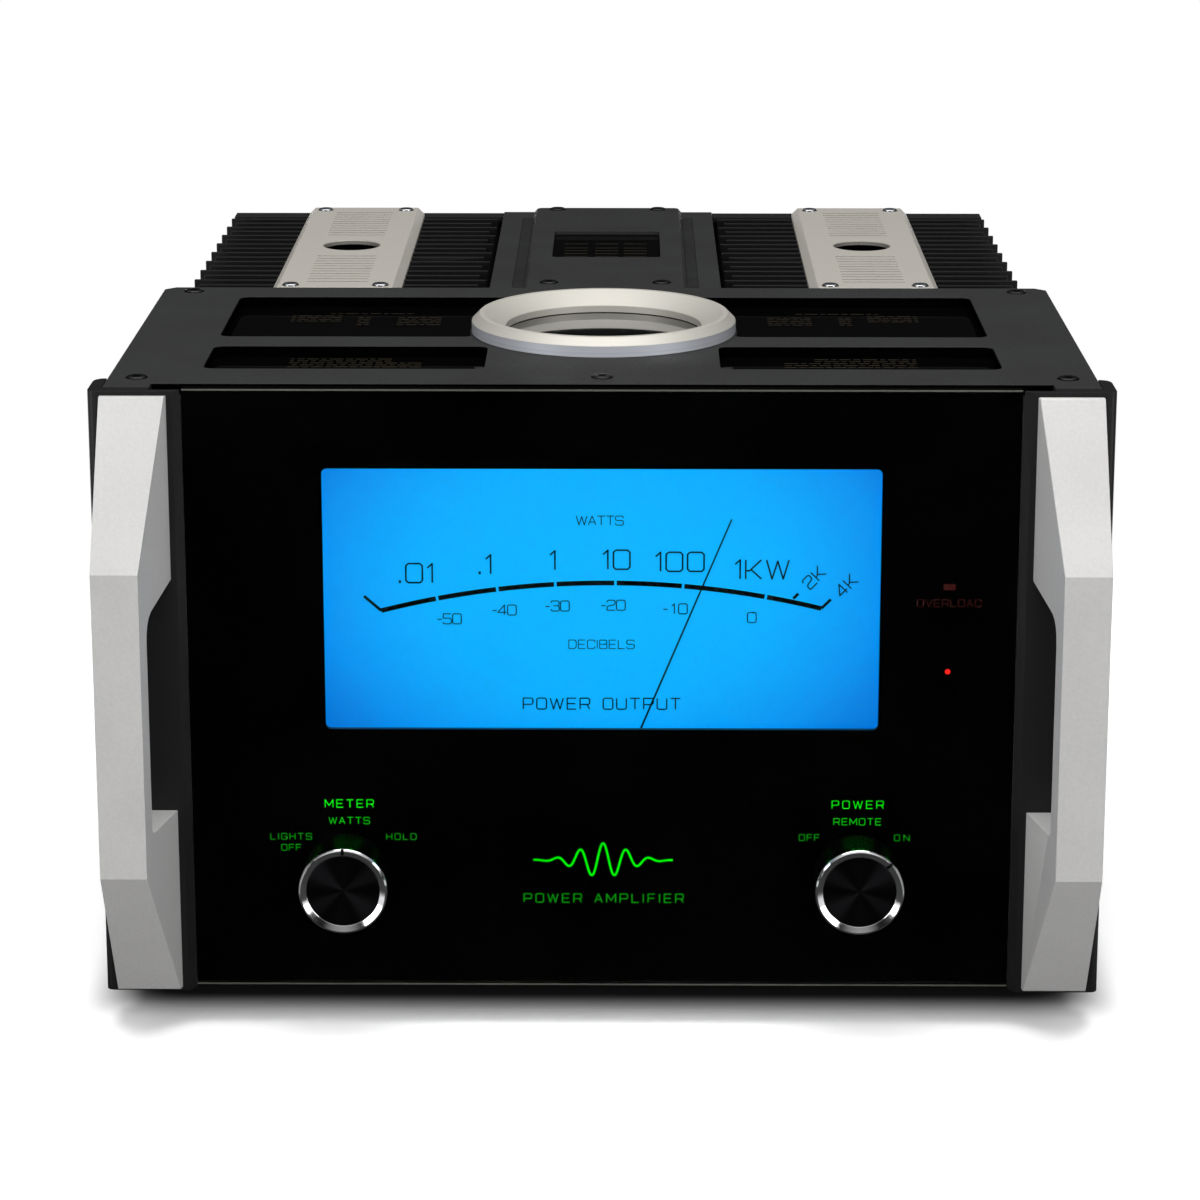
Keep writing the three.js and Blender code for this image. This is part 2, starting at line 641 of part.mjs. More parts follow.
function lampOpenings(margin) {
  const half = GUARD_LAMP_WIDTH / 2 + margin;
  const guard = TOP - GUARD_LAMP_DROP;
  const tall = GUARD_LAMP_HEIGHT / 2 + margin;
  const slot = rectangle(
    LAMP_OFFSET - half, guard - tall, LAMP_OFFSET + half, guard + tall, THREE.Path,
  );
  return [roundHole(LAMP_OFFSET, TOP - POWER_LAMP_DROP, POWER_LAMP_RADIUS + margin), slot];
}

/** A flat plate behind the glass with the meter, lamp and switch openings. */
function frontPlate(bottom, top, y0, y1, margin, shaftRadius) {
  const plate = rectangle(-GLASS_HALF, bottom, GLASS_HALF, top);
  const shafts = Object.values(SIDES).map((side) =>
    roundHole(side * KNOB_OFFSET, KNOB_HEIGHT, shaftRadius));
  plate.holes.push(meterOpening(margin), ...lampOpenings(margin), ...shafts);
  return extrudeBack(plate, y0, y1);
}

function buildFrontPlates() {
  const bottom = FOOT_HEIGHT + GLASS_BOTTOM_RISE;
  const print = frontPlate(
    bottom, TOP, PRINT_FRONT, PRINT_FRONT + PRINT_THICKNESS, 0, GLASS_KNOB_HOLE_RADIUS,
  );
  piece('glass_print', print, blackPrint);
  const panel = frontPlate(
    bottom, TOP - SUBPANEL_DROP, SUBPANEL_FRONT, SUBPANEL_BACK, SEAT, BUSHING_RADIUS + SEAT,
  );
  piece('front_subpanel', panel, blackAnodised);
}

// Handles: a side profile with the finger gap, trimmed by a slanted inner facet

/** The side view of a handle, with y forwards negative and the finger gap cut from behind. */
function handleProfile() {
  const top = TOP - HANDLE_TOP_DROP;
  const bottom = FOOT_HEIGHT + HANDLE_FOOT_RISE;
  const back = -SEAT;
  const gapBack = -(HANDLE_REACH - GRIP_DEPTH);
  const gapTop = TOP - FINGER_GAP_TOP_DROP;
  const gapBottom = FOOT_HEIGHT + FINGER_GAP_RISE;
  const shape = new THREE.Shape();
  shape.moveTo(back, top);
  shape.lineTo(-HANDLE_EDGE, top);
  shape.lineTo(-HANDLE_REACH, top - HANDLE_TOP_SLOPE);
  shape.lineTo(-HANDLE_REACH, bottom + HANDLE_FOOT_SLOPE);
  shape.lineTo(-HANDLE_EDGE, bottom);
  shape.lineTo(back, bottom);
  shape.lineTo(back, gapBottom);
  shape.lineTo(gapBack + FINGER_GAP_FOOT_RADIUS, gapBottom);
  shape.quadraticCurveTo(gapBack, gapBottom, gapBack, gapBottom + FINGER_GAP_FOOT_RADIUS);
  shape.lineTo(gapBack, gapTop - FINGER_GAP_FLARE - FINGER_GAP_RADIUS);
  shape.quadraticCurveTo(
    gapBack, gapTop - FINGER_GAP_FLARE,
    gapBack + FINGER_GAP_RADIUS * FINGER_GAP_EASE_SHARE, gapTop - FINGER_GAP_FLARE * FINGER_GAP_EASE_SHARE,
  );
  shape.lineTo(back, gapTop);
  return shape;
}

/** The plan of a handle: its inner side leans outwards towards the grip, its outer side a little. */
function handlePlan(side) {
  const outer = HALF_WIDTH - HANDLE_OUTER_INSET;
  return outline([
    [side * (outer - HANDLE_WIDTH), 0],
    [side * (outer - GRIP_WIDTH), -HANDLE_REACH],
    [side * outer, -HANDLE_REACH],
    [side * (outer - HANDLE_OUTER_TAPER), 0],
  ]);
}

function buildHandles() {
  const outer = HALF_WIDTH - HANDLE_OUTER_INSET;
  const near = outer - HANDLE_WIDTH - OVERRUN;
  for (const [name, side] of Object.entries(SIDES)) {
    const bar = extrudeSide(handleProfile(), side * near, side * (outer + OVERRUN));
    const plan = extrudeUp(handlePlan(side), FOOT_HEIGHT, TOP);
    piece(`handle_${name}`, common(bar, plan), silverPowder);
  }
}

// Meter

function buildMeterHousing() {
  const half = WINDOW_HALF + DIAL_MARGIN + HOUSING_SIDE_AIR;
  const top = WINDOW_TOP + DIAL_MARGIN + HOUSING_SIDE_AIR;
  const shelf = WINDOW_BOTTOM - DIAL_MARGIN - SEAT;
  const bottom = PIVOT_HEIGHT - MOVEMENT_RADIUS - HOUSING_SIDE_AIR;
  const shallow = GUIDE_BACK + SEAT;
  const lightBox = (grow, front) =>
    box(-half - grow, front, shelf - grow, half + grow, shallow + grow, top + grow);
  const well = (grow, front) => box(
    -WELL_HALF - grow, front, bottom - grow,
    WELL_HALF + grow, HOUSING_DEEP + grow, shelf + OVERRUN,
  );
  const outside = join(lightBox(HOUSING_WALL, HOUSING_FRONT), well(HOUSING_WALL, HOUSING_FRONT));
  const open = HOUSING_FRONT - OVERRUN;
  piece('meter_housing', cut(outside, lightBox(0, open), well(0, open)), blackPaint);
}

function buildMeterFace() {
  const half = WINDOW_HALF + DIAL_MARGIN;
  const bottom = WINDOW_BOTTOM - DIAL_MARGIN;
  const top = WINDOW_TOP + DIAL_MARGIN;
  piece('meter_dial', box(-half, DIAL_FRONT, bottom, half, DIAL_BACK, top), dialBlue);
  piece('meter_light_guide', box(-half, GUIDE_FRONT, bottom, half, GUIDE_BACK, top), acrylic);
}

function buildMeterMovement() {
  const profile = [
    [0, 0],
    [MOVEMENT_COLLAR_RADIUS, 0],
    [MOVEMENT_COLLAR_RADIUS, MOVEMENT_COLLAR],
    [MOVEMENT_RADIUS, MOVEMENT_COLLAR],
    [MOVEMENT_RADIUS, MOVEMENT_COLLAR + MOVEMENT_DEPTH],
    [0, MOVEMENT_COLLAR + MOVEMENT_DEPTH],
  ];
  piece(
    'meter_movement', turnedAlongDepth(profile), steel,
    [0, DIAL_FRONT, PIVOT_HEIGHT],
  );
}

/** The pointer, drawn upright about its pivot and turned to its resting reading. */
function buildMeterPointer() {
  const blade = outline([
    [-POINTER_WIDTH / 2, 0],
    [POINTER_WIDTH / 2, 0],
    [POINTER_TIP_WIDTH / 2, POINTER_LENGTH],
    [-POINTER_TIP_WIDTH / 2, POINTER_LENGTH],
  ]);
  const tail = outline([
    [-POINTER_TAIL_WIDTH / 2, -POINTER_TAIL],
    [POINTER_TAIL_WIDTH / 2, -POINTER_TAIL],
    [POINTER_WIDTH, 0],
    [-POINTER_WIDTH, 0],
  ]);
  const flat = (shape) => extrudeBack(shape, 0, POINTER_THICKNESS);
  const hub = rod(POINTER_HUB_RADIUS, 0, POINTER_THICKNESS);
  const shaft = rod(POINTER_SHAFT_RADIUS, 0, POINTER_THICKNESS + POINTER_AIR - SEAT);
  const pointer = join(hub, flat(blade), flat(tail), shaft);
  const mesh = piece('meter_pointer', pointer, needleBlack, [0, POINTER_FRONT, PIVOT_HEIGHT]);
  mesh.rotation.y = THREE.MathUtils.degToRad(POINTER_ANGLE);
}

// Knobs with trim rings, shafts and switches

function knobBody() {
  const back = GLASS_SETBACK - KNOB_GLASS_AIR;
  const shoulder = -(KNOB_REACH - KNOB_RING_DEPTH - SEAT);
  const face = -(KNOB_REACH - KNOB_FACE_RECESS);
  const profile = [
    [0, face],
    [KNOB_FACE_RADIUS, face],
    [KNOB_FACE_RADIUS, shoulder],
    [KNOB_RADIUS, shoulder],
    [KNOB_RADIUS, back],
    [SHAFT_RADIUS + SHAFT_CLEARANCE, back],
    [SHAFT_RADIUS + SHAFT_CLEARANCE, back - SHAFT_BITE],
    [0, back - SHAFT_BITE],
  ];
  return turnedAlongDepth(profile, KNOB_STEPS);
}

function knobRing() {
  const inner = KNOB_FACE_RADIUS + SEAT;
  const back = -(KNOB_REACH - KNOB_RING_DEPTH);
  const profile = [
    [inner, back],
    [inner, -KNOB_REACH + KNOB_RING_BEVEL],
    [inner + KNOB_RING_BEVEL / 2, -KNOB_REACH],
    [KNOB_RING_RADIUS - KNOB_RING_BEVEL / 2, -KNOB_REACH],
    [KNOB_RING_RADIUS, -KNOB_REACH + KNOB_RING_BEVEL],
    [KNOB_RING_RADIUS, back],
    [inner, back],
  ];
  const notch = box(
    -KNOB_NOTCH_WIDTH / 2, -KNOB_REACH - OVERRUN, 0,
    KNOB_NOTCH_WIDTH / 2, -KNOB_REACH + KNOB_NOTCH_DEPTH, KNOB_RING_RADIUS + OVERRUN,
  );
  return cut(turnedAlongDepth(profile, KNOB_STEPS), notch);
}

function switchBody() {
  const front = SUBPANEL_BACK + SEAT;
  const tip = SUBPANEL_BACK - BUSHING_REACH;
  const half = SWITCH_SIDE / 2;
  const block = box(-half, front, -half, half, front + SWITCH_DEPTH, half);
  const bushing = rod(BUSHING_RADIUS, tip, front + OVERRUN);
  const bore = rod(SHAFT_RADIUS + SHAFT_CLEARANCE, tip - OVERRUN, front + SWITCH_SOCKET);
  return cut(join(block, bushing), bore);
}

function buildControl(name, side, angle) {
  const place = [side * KNOB_OFFSET, 0, KNOB_HEIGHT];
  const turning = new THREE.Group();
  turning.position.set(...place);
  turning.rotation.y = THREE.MathUtils.degToRad(-angle);
  amplifier.add(turning);
  const shaftFront = GLASS_SETBACK - KNOB_GLASS_AIR - SHAFT_BITE + SEAT;
  const shaftBack = SUBPANEL_BACK + SWITCH_SOCKET;
  piece(`${name}_knob`, knobBody(), glossBlack, [0, 0, 0], turning);
  piece(`${name}_knob_ring`, knobRing(), chrome, [0, 0, 0], turning);
  piece(`${name}_shaft`, rod(SHAFT_RADIUS, shaftFront, shaftBack), steel, [0, 0, 0], turning);
  piece(`${name}_switch`, switchBody(), contactPlastic, place);
}

function buildIndicatorBoard() {
  const front = SUBPANEL_BACK + SEAT;
  const guard = TOP - GUARD_LAMP_DROP;
  const power = TOP - POWER_LAMP_DROP;
  const tip = PRINT_FRONT + PRINT_THICKNESS;
  const board = box(
    LAMP_OFFSET - LAMP_BOARD_MARGIN, front, power - LAMP_BOARD_MARGIN,
    LAMP_OFFSET + LAMP_BOARD_MARGIN, front + LAMP_BOARD_THICKNESS, guard + LAMP_BOARD_MARGIN,
  );
  const round = rod(POWER_LAMP_RADIUS - SEAT / 2, tip, front + SEAT);
  const bar = box(
    LAMP_OFFSET - GUARD_LAMP_WIDTH / 2, tip, guard - GUARD_LAMP_HEIGHT / 2,
    LAMP_OFFSET + GUARD_LAMP_WIDTH / 2, front + SEAT, guard + GUARD_LAMP_HEIGHT / 2,
  );
  piece('indicator_board', join(board, round.translate(LAMP_OFFSET, 0, power), bar), circuitBoard);
}

// Top cover, panes, bezel and badge disc

/** A window beside the bezel: its inner end follows the bezel and leaves a bridge behind it. */
function rearWindow(side) {
  const corner = TOP_WINDOW_CORNER;
  const near = BRIDGE_WIDTH / 2;
  const reach = REAR_WINDOW_FRONT - BEZEL_CENTRE;
  const path = new THREE.Path();
  const arcStart = Math.acos(near / WINDOW_ARC_RADIUS);
  const arcEnd = Math.asin((reach + corner) / WINDOW_ARC_RADIUS);
  path.moveTo(near, REAR_WINDOW_REAR);
  path.lineTo(near, BEZEL_CENTRE + Math.sqrt(WINDOW_ARC_RADIUS ** 2 - near ** 2));
  path.absarc(0, BEZEL_CENTRE, WINDOW_ARC_RADIUS, arcStart, arcEnd, true);
  const foot = Math.sqrt(WINDOW_ARC_RADIUS ** 2 - reach ** 2);
  path.quadraticCurveTo(foot, REAR_WINDOW_FRONT, foot + corner, REAR_WINDOW_FRONT);
  path.absarc(TOP_WINDOW_OUTER - corner, REAR_WINDOW_FRONT + corner, corner, -Math.PI / 2, 0);
  path.absarc(TOP_WINDOW_OUTER - corner, REAR_WINDOW_REAR - corner, corner, 0, Math.PI / 2);
  const points = path.getPoints(CORNER_STEPS).map(({ x, y }) => new THREE.Vector2(side * x, y));
  return new THREE.Path(points);
}

function buildTopCover() {
  const half = COVER_WIDTH / 2;
  const notch = COVER_NOTCH_WIDTH / 2;
  const plate = outline([
    [-half, COVER_EAR_FRONT],
    [-notch - SEAT, COVER_EAR_FRONT],
    [-notch - SEAT, COVER_FRONT],
    [notch + SEAT, COVER_FRONT],
    [notch + SEAT, COVER_EAR_FRONT],
    [half, COVER_EAR_FRONT],
    [half, COVER_REAR - COVER_CORNER],
    [half - COVER_CORNER, COVER_REAR],
    [-half + COVER_CORNER, COVER_REAR],
    [-half, COVER_REAR - COVER_CORNER],
  ]);
  plate.holes.push(roundHole(0, BEZEL_CENTRE, BEZEL_SPIGOT_RADIUS + SEAT, ROUND_STEPS));
  for (const side of Object.values(SIDES)) {
    const near = Math.min(side * FRONT_WINDOW_INNER, side * TOP_WINDOW_OUTER);
    const far = Math.max(side * FRONT_WINDOW_INNER, side * TOP_WINDOW_OUTER);
    plate.holes.push(rearWindow(side));
    plate.holes.push(roundedRectangle(
      near, FRONT_WINDOW_FRONT, far, FRONT_WINDOW_REAR, TOP_WINDOW_CORNER, THREE.Path,
    ));
  }
  piece('top_cover', extrudeUp(plate, COVER_BOTTOM, TOP), darkCover);
}

function buildTopPanes() {
  const front = FRONT_WINDOW_FRONT - PANE_LAP;
  const rear = REAR_WINDOW_REAR + PANE_LAP;
  const middle = BRIDGE_WIDTH / 2 - PANE_LAP;
  const bottom = PANE_TOP - PANE_THICKNESS;
  for (const [name, side] of Object.entries(SIDES)) {
    const pane = sideBox(side, middle, TOP_WINDOW_OUTER + PANE_LAP, front, rear, bottom, PANE_TOP);
    const round = turned([
      [0, bottom - OVERRUN],
      [PANE_ARC_RADIUS, bottom - OVERRUN],
      [PANE_ARC_RADIUS, PANE_TOP + OVERRUN],
      [0, PANE_TOP + OVERRUN],
    ]).translate(0, BEZEL_CENTRE, 0);
    piece(`window_pane_${name}`, cut(pane, round), clearGlass);
  }
}

function buildBezel() {
  const seat = TOP + SEAT;
  const crest = seat + BEZEL_WALL + BEZEL_CHAMFER;
  const edge = TOP + BEZEL_EDGE_HEIGHT;
  const profile = [
    [BEZEL_BORE_RADIUS, edge - BEZEL_INNER_WALL],
    [BEZEL_SPIGOT_INNER, edge - BEZEL_INNER_WALL],
    [BEZEL_SPIGOT_INNER, COVER_BOTTOM],
    [BEZEL_SPIGOT_RADIUS, COVER_BOTTOM],
    [BEZEL_SPIGOT_RADIUS, seat],
    [BEZEL_RADIUS, seat],
    [BEZEL_RADIUS, seat + BEZEL_WALL],
    [BEZEL_RADIUS - BEZEL_CHAMFER, crest],
    [BEZEL_RADIUS - BEZEL_CHAMFER - BEZEL_CREST, crest],
    [BEZEL_BORE_RADIUS, edge],
    [BEZEL_BORE_RADIUS, edge - BEZEL_INNER_WALL],
  ];
  const place = [0, BEZEL_CENTRE, 0];
  piece('bezel_ring', turned(profile), brushedSilver, place);
  const discTop = TOP - BADGE_DROP;
  const badge = [
    [0, discTop - BADGE_THICKNESS],
    [BEZEL_SPIGOT_INNER - SEAT, discTop - BADGE_THICKNESS],
    [BEZEL_SPIGOT_INNER - SEAT, discTop],
    [0, discTop],
  ];
  piece('bezel_disc', turned(badge), clearGlass, place);
}

// Central deck, spine cover and its pane

/** The outline of the spine's window, or of the pane that sits inside it. */
function spineOpening(air, Kind = THREE.Shape) {
  const half = SPINE_WINDOW_WIDTH / 2 - air;
  return roundedRectangle(
    -half, SPINE_WINDOW_FRONT + air, half, SPINE_WINDOW_REAR - air, SPINE_WINDOW_RADIUS, Kind,
  );
}

function buildDeck() {
  const half = DECK_WIDTH / 2;
  const bottom = TRAY_TOP + SEAT;
  const section = outline([
    [-half, bottom],
    [-half + DECK_SHEET, bottom],
    [-half + DECK_SHEET, DECK_TOP - DECK_SHEET],
    [half - DECK_SHEET, DECK_TOP - DECK_SHEET],
    [half - DECK_SHEET, bottom],
    [half, bottom],
    [half, DECK_TOP],
    [-half, DECK_TOP],
  ]);
  const tools = [extrudeUp(spineOpening(0), DECK_TOP - DECK_SHEET - OVERRUN, DECK_TOP + OVERRUN)];
  for (const side of Object.values(SIDES)) {
    const near = SPINE_WIDTH / 2 + SEAT;
    const far = near + VENT_WIDTH;
    tools.push(sideBox(
      side, near, far, REAR_BANK_FRONT + VENT_FRONT_MARGIN, REAR_BANK_REAR - VENT_REAR_MARGIN,
      DECK_TOP - VENT_DEPTH, DECK_TOP + OVERRUN,
    ));
  }
  piece('rear_deck', cut(extrudeBack(section, REAR_BANK_FRONT, REAR_BANK_REAR), ...tools), darkCover);
}

function buildSpine() {
  const half = SPINE_WIDTH / 2;
  const front = REAR_BANK_FRONT;
  const rear = REAR_BANK_REAR;
  const top = SPINE_BOTTOM + SPINE_THICKNESS;
  const section = outline([
    [-half, SPINE_BOTTOM],
    [half, SPINE_BOTTOM],
    [half, top - SPINE_BEVEL],
    [half - SPINE_BEVEL, top],
    [-half + SPINE_BEVEL, top],
    [-half, top - SPINE_BEVEL],
  ]);
  const plan = outline([
    [-half, front],
    [half, front],
    [half, rear - SPINE_CORNER],
    [half - SPINE_CORNER, rear],
    [-half + SPINE_CORNER, rear],
    [-half, rear - SPINE_CORNER],
  ]);
  plan.holes.push(spineOpening(0, THREE.Path));
  const trimmed = common(
    extrudeBack(section, front, rear), extrudeUp(plan, SPINE_BOTTOM - OVERRUN, top + OVERRUN),
  );
  piece('spine_cover', trimmed, darkCover);
  const pane = extrudeUp(spineOpening(SEAT), DECK_TOP - DECK_SHEET, DECK_TOP);
  piece('spine_pane', pane, clearGlass);
}

// Heat sinks: a thick core with tapered fins, long and short by turns

/** The plan of one finned extrusion, from its core's flat face at `flat` to the fin tips. */
function finnedPlan(side, flat, root, tip) {
  const outward = Math.sign(tip - root);
  const points = [
    [side * flat, REAR_BANK_FRONT],
    [side * root, REAR_BANK_FRONT],
  ];
  for (let index = 0; index < FIN_COUNT; index += 1) {
    const middle = FIN_FIRST + index * FIN_PITCH;
    const end = index % 2 === 0 ? tip : tip - outward * FIN_STEP;
    points.push([side * root, middle - FIN_ROOT / 2]);
    points.push([side * end, middle - FIN_TIP / 2]);
    points.push([side * end, middle + FIN_TIP / 2]);
    points.push([side * root, middle + FIN_ROOT / 2]);
  }
  points.push([side * root, REAR_BANK_REAR]);
  points.push([side * flat, REAR_BANK_REAR]);
  return outline(points);
}

function buildHeatSinks() {
  const bottom = TRAY_TOP + SEAT;
  const banks = {
    outer: [OUTER_CORE - CORE_THICKNESS, OUTER_CORE, FIN_OUTER_TIP],
    inner: [INNER_CORE + CORE_THICKNESS, INNER_CORE, FIN_INNER_TIP],
  };
  for (const [sideName, side] of Object.entries(SIDES)) {
    for (const [bankName, [flat, root, tip]] of Object.entries(banks)) {
      const comb = extrudeUp(finnedPlan(side, flat, root, tip), bottom, FIN_TOP);
      const capSeat = sideBox(
        side, CAP_OFFSET - CAP_WIDTH / 2 - SEAT, CAP_OFFSET + CAP_WIDTH / 2 + SEAT,
        REAR_BANK_FRONT - OVERRUN, REAR_BANK_REAR + OVERRUN, CORE_TOP, TOP,
      );
      piece(`heat_sink_${bankName}_${sideName}`, cut(comb, capSeat), blackAnodised);
    }
  }
}

function buildHeatSinkCaps() {
  const half = CAP_WIDTH / 2;
  const section = outline([
    [-half, CAP_BOTTOM],
    [half, CAP_BOTTOM],
    [half, TOP - CAP_BEVEL],
    [half - CAP_BEVEL, TOP],
    [-half + CAP_BEVEL, TOP],
    [-half, TOP - CAP_BEVEL],
  ]);
  const middle = (REAR_BANK_FRONT + REAR_BANK_REAR) / 2;
  const hole = new THREE.CylinderGeometry(
    CAP_HOLE_RADIUS, CAP_HOLE_RADIUS, CAP_THICKNESS + 2 * OVERRUN, KNOB_STEPS,
  ).rotateX(Math.PI / 2).translate(0, middle, TOP - CAP_THICKNESS / 2);
  const grooves = [];
  for (const end of [-1, 1]) {
    const centre = middle + end * CAP_GROOVE_CENTRE_SPACING / 2;
    for (let index = 0; index < CAP_GROOVES; index += 1) {
      const place = centre + (index - (CAP_GROOVES - 1) / 2) * CAP_GROOVE_PITCH;
      grooves.push(box(
        -CAP_GROOVE_LENGTH / 2, place - CAP_GROOVE_WIDTH / 2, TOP - CAP_GROOVE_DEPTH,
        CAP_GROOVE_LENGTH / 2, place + CAP_GROOVE_WIDTH / 2, TOP + OVERRUN,
      ));
    }
  }
  for (const [name, side] of Object.entries(SIDES)) {
    const cap = cut(extrudeBack(section, REAR_BANK_FRONT, REAR_BANK_REAR), hole, ...grooves);
    piece(`heat_sink_cap_${name}`, cap, warmSilver, [side * CAP_OFFSET, 0, 0]);
  }
}

// Electronics

/** A board with a row of output transistors that face the heat-sink core. */
function outputStage(side) {
  const face = OUTER_CORE - CORE_THICKNESS - SEAT;
  const near = face - TRANSISTOR_DEPTH;
  const margin = FIN_PITCH;
  const bottom = TRAY_TOP + OUTPUT_BOARD_RISE;
  const front = REAR_BANK_FRONT + margin;
  const rear = REAR_BANK_REAR - margin;
  const board = sideBox(
    side, near - BOARD_THICKNESS, near, front, rear, bottom, CORE_TOP - OUTPUT_BOARD_DROP,
  );
  const pitch = (rear - front) / TRANSISTOR_COUNT;
  const devices = Array.from({ length: TRANSISTOR_COUNT }, (unused, index) => {
    const middle = front + (index + 0.5) * pitch;
    const low = bottom + TRANSISTOR_ROW_RISE;
    return sideBox(
      side, near - SEAT, face, middle - TRANSISTOR_WIDTH / 2, middle + TRANSISTOR_WIDTH / 2,
      low, low + TRANSISTOR_HEIGHT,
    );
  });
  return join(board, ...devices);
}

/** A potted transformer can with a foot flange, between the meter housing and the bulkhead. */
function buildTransformer(name, side, sideMargin, middleMargin, endAir, height) {
  const bottom = TRAY_TOP + SEAT;
  const half = (HALF_WIDTH - sideMargin - middleMargin) / 2;
  const front = HOUSING_DEEP + HOUSING_WALL + endAir + CAN_FLANGE;
  const rear = COVER_REAR - SHEET - endAir - CAN_FLANGE;
  const deep = (rear - front) / 2;
  const can = roundedRectangle(-half, -deep, half, deep, CAN_RADIUS);
  const flange = roundedRectangle(
    -half - CAN_FLANGE, -deep - CAN_FLANGE, half + CAN_FLANGE, deep + CAN_FLANGE, CAN_RADIUS,
  );
  const solidCan = join(
    extrudeUp(can, bottom, bottom + height), extrudeUp(flange, bottom, bottom + CAN_FLANGE_THICKNESS),
  );
  piece(name, solidCan, blackPaint, [side * (middleMargin + half), (front + rear) / 2, 0]);
}

function buildElectronics() {
  for (const [name, side] of Object.entries(SIDES)) {
    piece(`output_stage_${name}`, outputStage(side), circuitBoard);
  }
  buildTransformer(
    'power_transformer', SIDES.right,
    POWER_CAN_SIDE_MARGIN, POWER_CAN_MIDDLE_MARGIN, POWER_CAN_END_AIR, POWER_CAN_HEIGHT,
  );
  buildTransformer(
    'output_transformer', SIDES.left,
    OUTPUT_CAN_SIDE_MARGIN, OUTPUT_CAN_MIDDLE_MARGIN, OUTPUT_CAN_END_AIR, OUTPUT_CAN_HEIGHT,
  );
  const bottom = TRAY_TOP + SEAT;
  const crimp = bottom + CAPACITOR_HEIGHT - CAPACITOR_CRIMP_DROP;
  const capacitor = [
    [0, bottom],
    [CAPACITOR_RADIUS, bottom],
    [CAPACITOR_RADIUS, crimp - CAPACITOR_CRIMP],
    [CAPACITOR_RADIUS - CAPACITOR_CRIMP, crimp],
    [CAPACITOR_RADIUS, crimp + CAPACITOR_CRIMP],
    [CAPACITOR_RADIUS, bottom + CAPACITOR_HEIGHT],
    [0, bottom + CAPACITOR_HEIGHT],
  ];
  for (const [name, side] of Object.entries(SIDES)) {
    piece(
      `filter_capacitor_${name}`, turned(capacitor, FOOT_STEPS), canSleeve,
      [side * (CAPACITOR_GAP + CAPACITOR_RADIUS), COVER_REAR + CAPACITOR_SETBACK, 0],
    );
  }
  const boardRear = BODY_DEPTH - CONTROL_BOARD_MARGIN;
  const boardSide = DECK_WIDTH / 2 - DECK_SHEET - CONTROL_BOARD_AIR;
  const board = box(
    boardSide - BOARD_THICKNESS, boardRear - CONTROL_BOARD_LENGTH, bottom,
    boardSide, boardRear, bottom + CONTROL_BOARD_HEIGHT,
  );
  piece('control_board', board, circuitBoard);
}

// Rear panel with its connectors

const jackHeight = TOP - JACK_DROP;
const inletHeight = FOOT_HEIGHT + INLET_RISE;
const terminalHeight = (jackHeight + inletHeight) / 2;

function terminalPlace(index) {
  return (index - (TERMINAL_COUNT - 1) / 2) * TERMINAL_SPACING;
}

function buildRearPanel() {
  const half = REAR_HALF;
  const plate = rectangle(-half, TRAY_BOTTOM, half, FIN_TOP);
  const inletHalf = INLET_WIDTH / 2 + SEAT;
  const inletTall = INLET_HEIGHT / 2 + SEAT;
  plate.holes.push(rectangle(
    INLET_OFFSET - inletHalf, inletHeight - inletTall,
    INLET_OFFSET + inletHalf, inletHeight + inletTall, THREE.Path,
  ));
  plate.holes.push(roundHole(BALANCED_OFFSET, jackHeight, BALANCED_RADIUS + SEAT));
  plate.holes.push(roundHole(PHONO_OFFSET, jackHeight, PHONO_BODY_RADIUS + SEAT));
  plate.holes.push(roundHole(TRIGGER_OFFSET, jackHeight, TRIGGER_BODY_RADIUS + SEAT));
  const flanges = [];
  for (const side of Object.values(SIDES)) {
    const spans = [
      [DECK_WIDTH / 2 + SEAT, CAP_OFFSET - CAP_WIDTH / 2 - 2 * SEAT],
      [CAP_OFFSET + CAP_WIDTH / 2 + 2 * SEAT, half],
    ];
    for (const [near, far] of spans) {
      flanges.push(sideBox(
        side, near, far, REAR_INSIDE - REAR_FLANGE, REAR_INSIDE + SEAT, FIN_TOP - REAR_SHEET, FIN_TOP,
      ));
    }
  }
  const sheet = extrudeBack(plate, REAR_INSIDE, BODY_DEPTH);
  piece('rear_panel', join(sheet, ...flanges), blackPaint);
}

function buildInlet() {
  const half = INLET_WIDTH / 2;
  const tall = INLET_HEIGHT / 2;
  const flangeFront = BODY_DEPTH + SEAT;
  const flangeRear = flangeFront + INLET_FLANGE_THICKNESS;
  const flange = box(
    -half - INLET_FLANGE, flangeFront, -tall - INLET_FLANGE,
    half + INLET_FLANGE, flangeRear, tall + INLET_FLANGE,
  );
  const shell = box(-half, flangeRear - INLET_DEPTH, -tall, half, flangeRear, tall);
  const socket = box(
    -half + INLET_SOCKET_INSET, flangeRear - INLET_SOCKET_DEPTH, -tall + INLET_SOCKET_INSET,
    half - INLET_SOCKET_INSET, flangeRear + OVERRUN, tall - INLET_SOCKET_INSET,
  );
  piece('power_inlet', cut(join(flange, shell), socket), contactPlastic, [INLET_OFFSET, 0, inletHeight]);
}

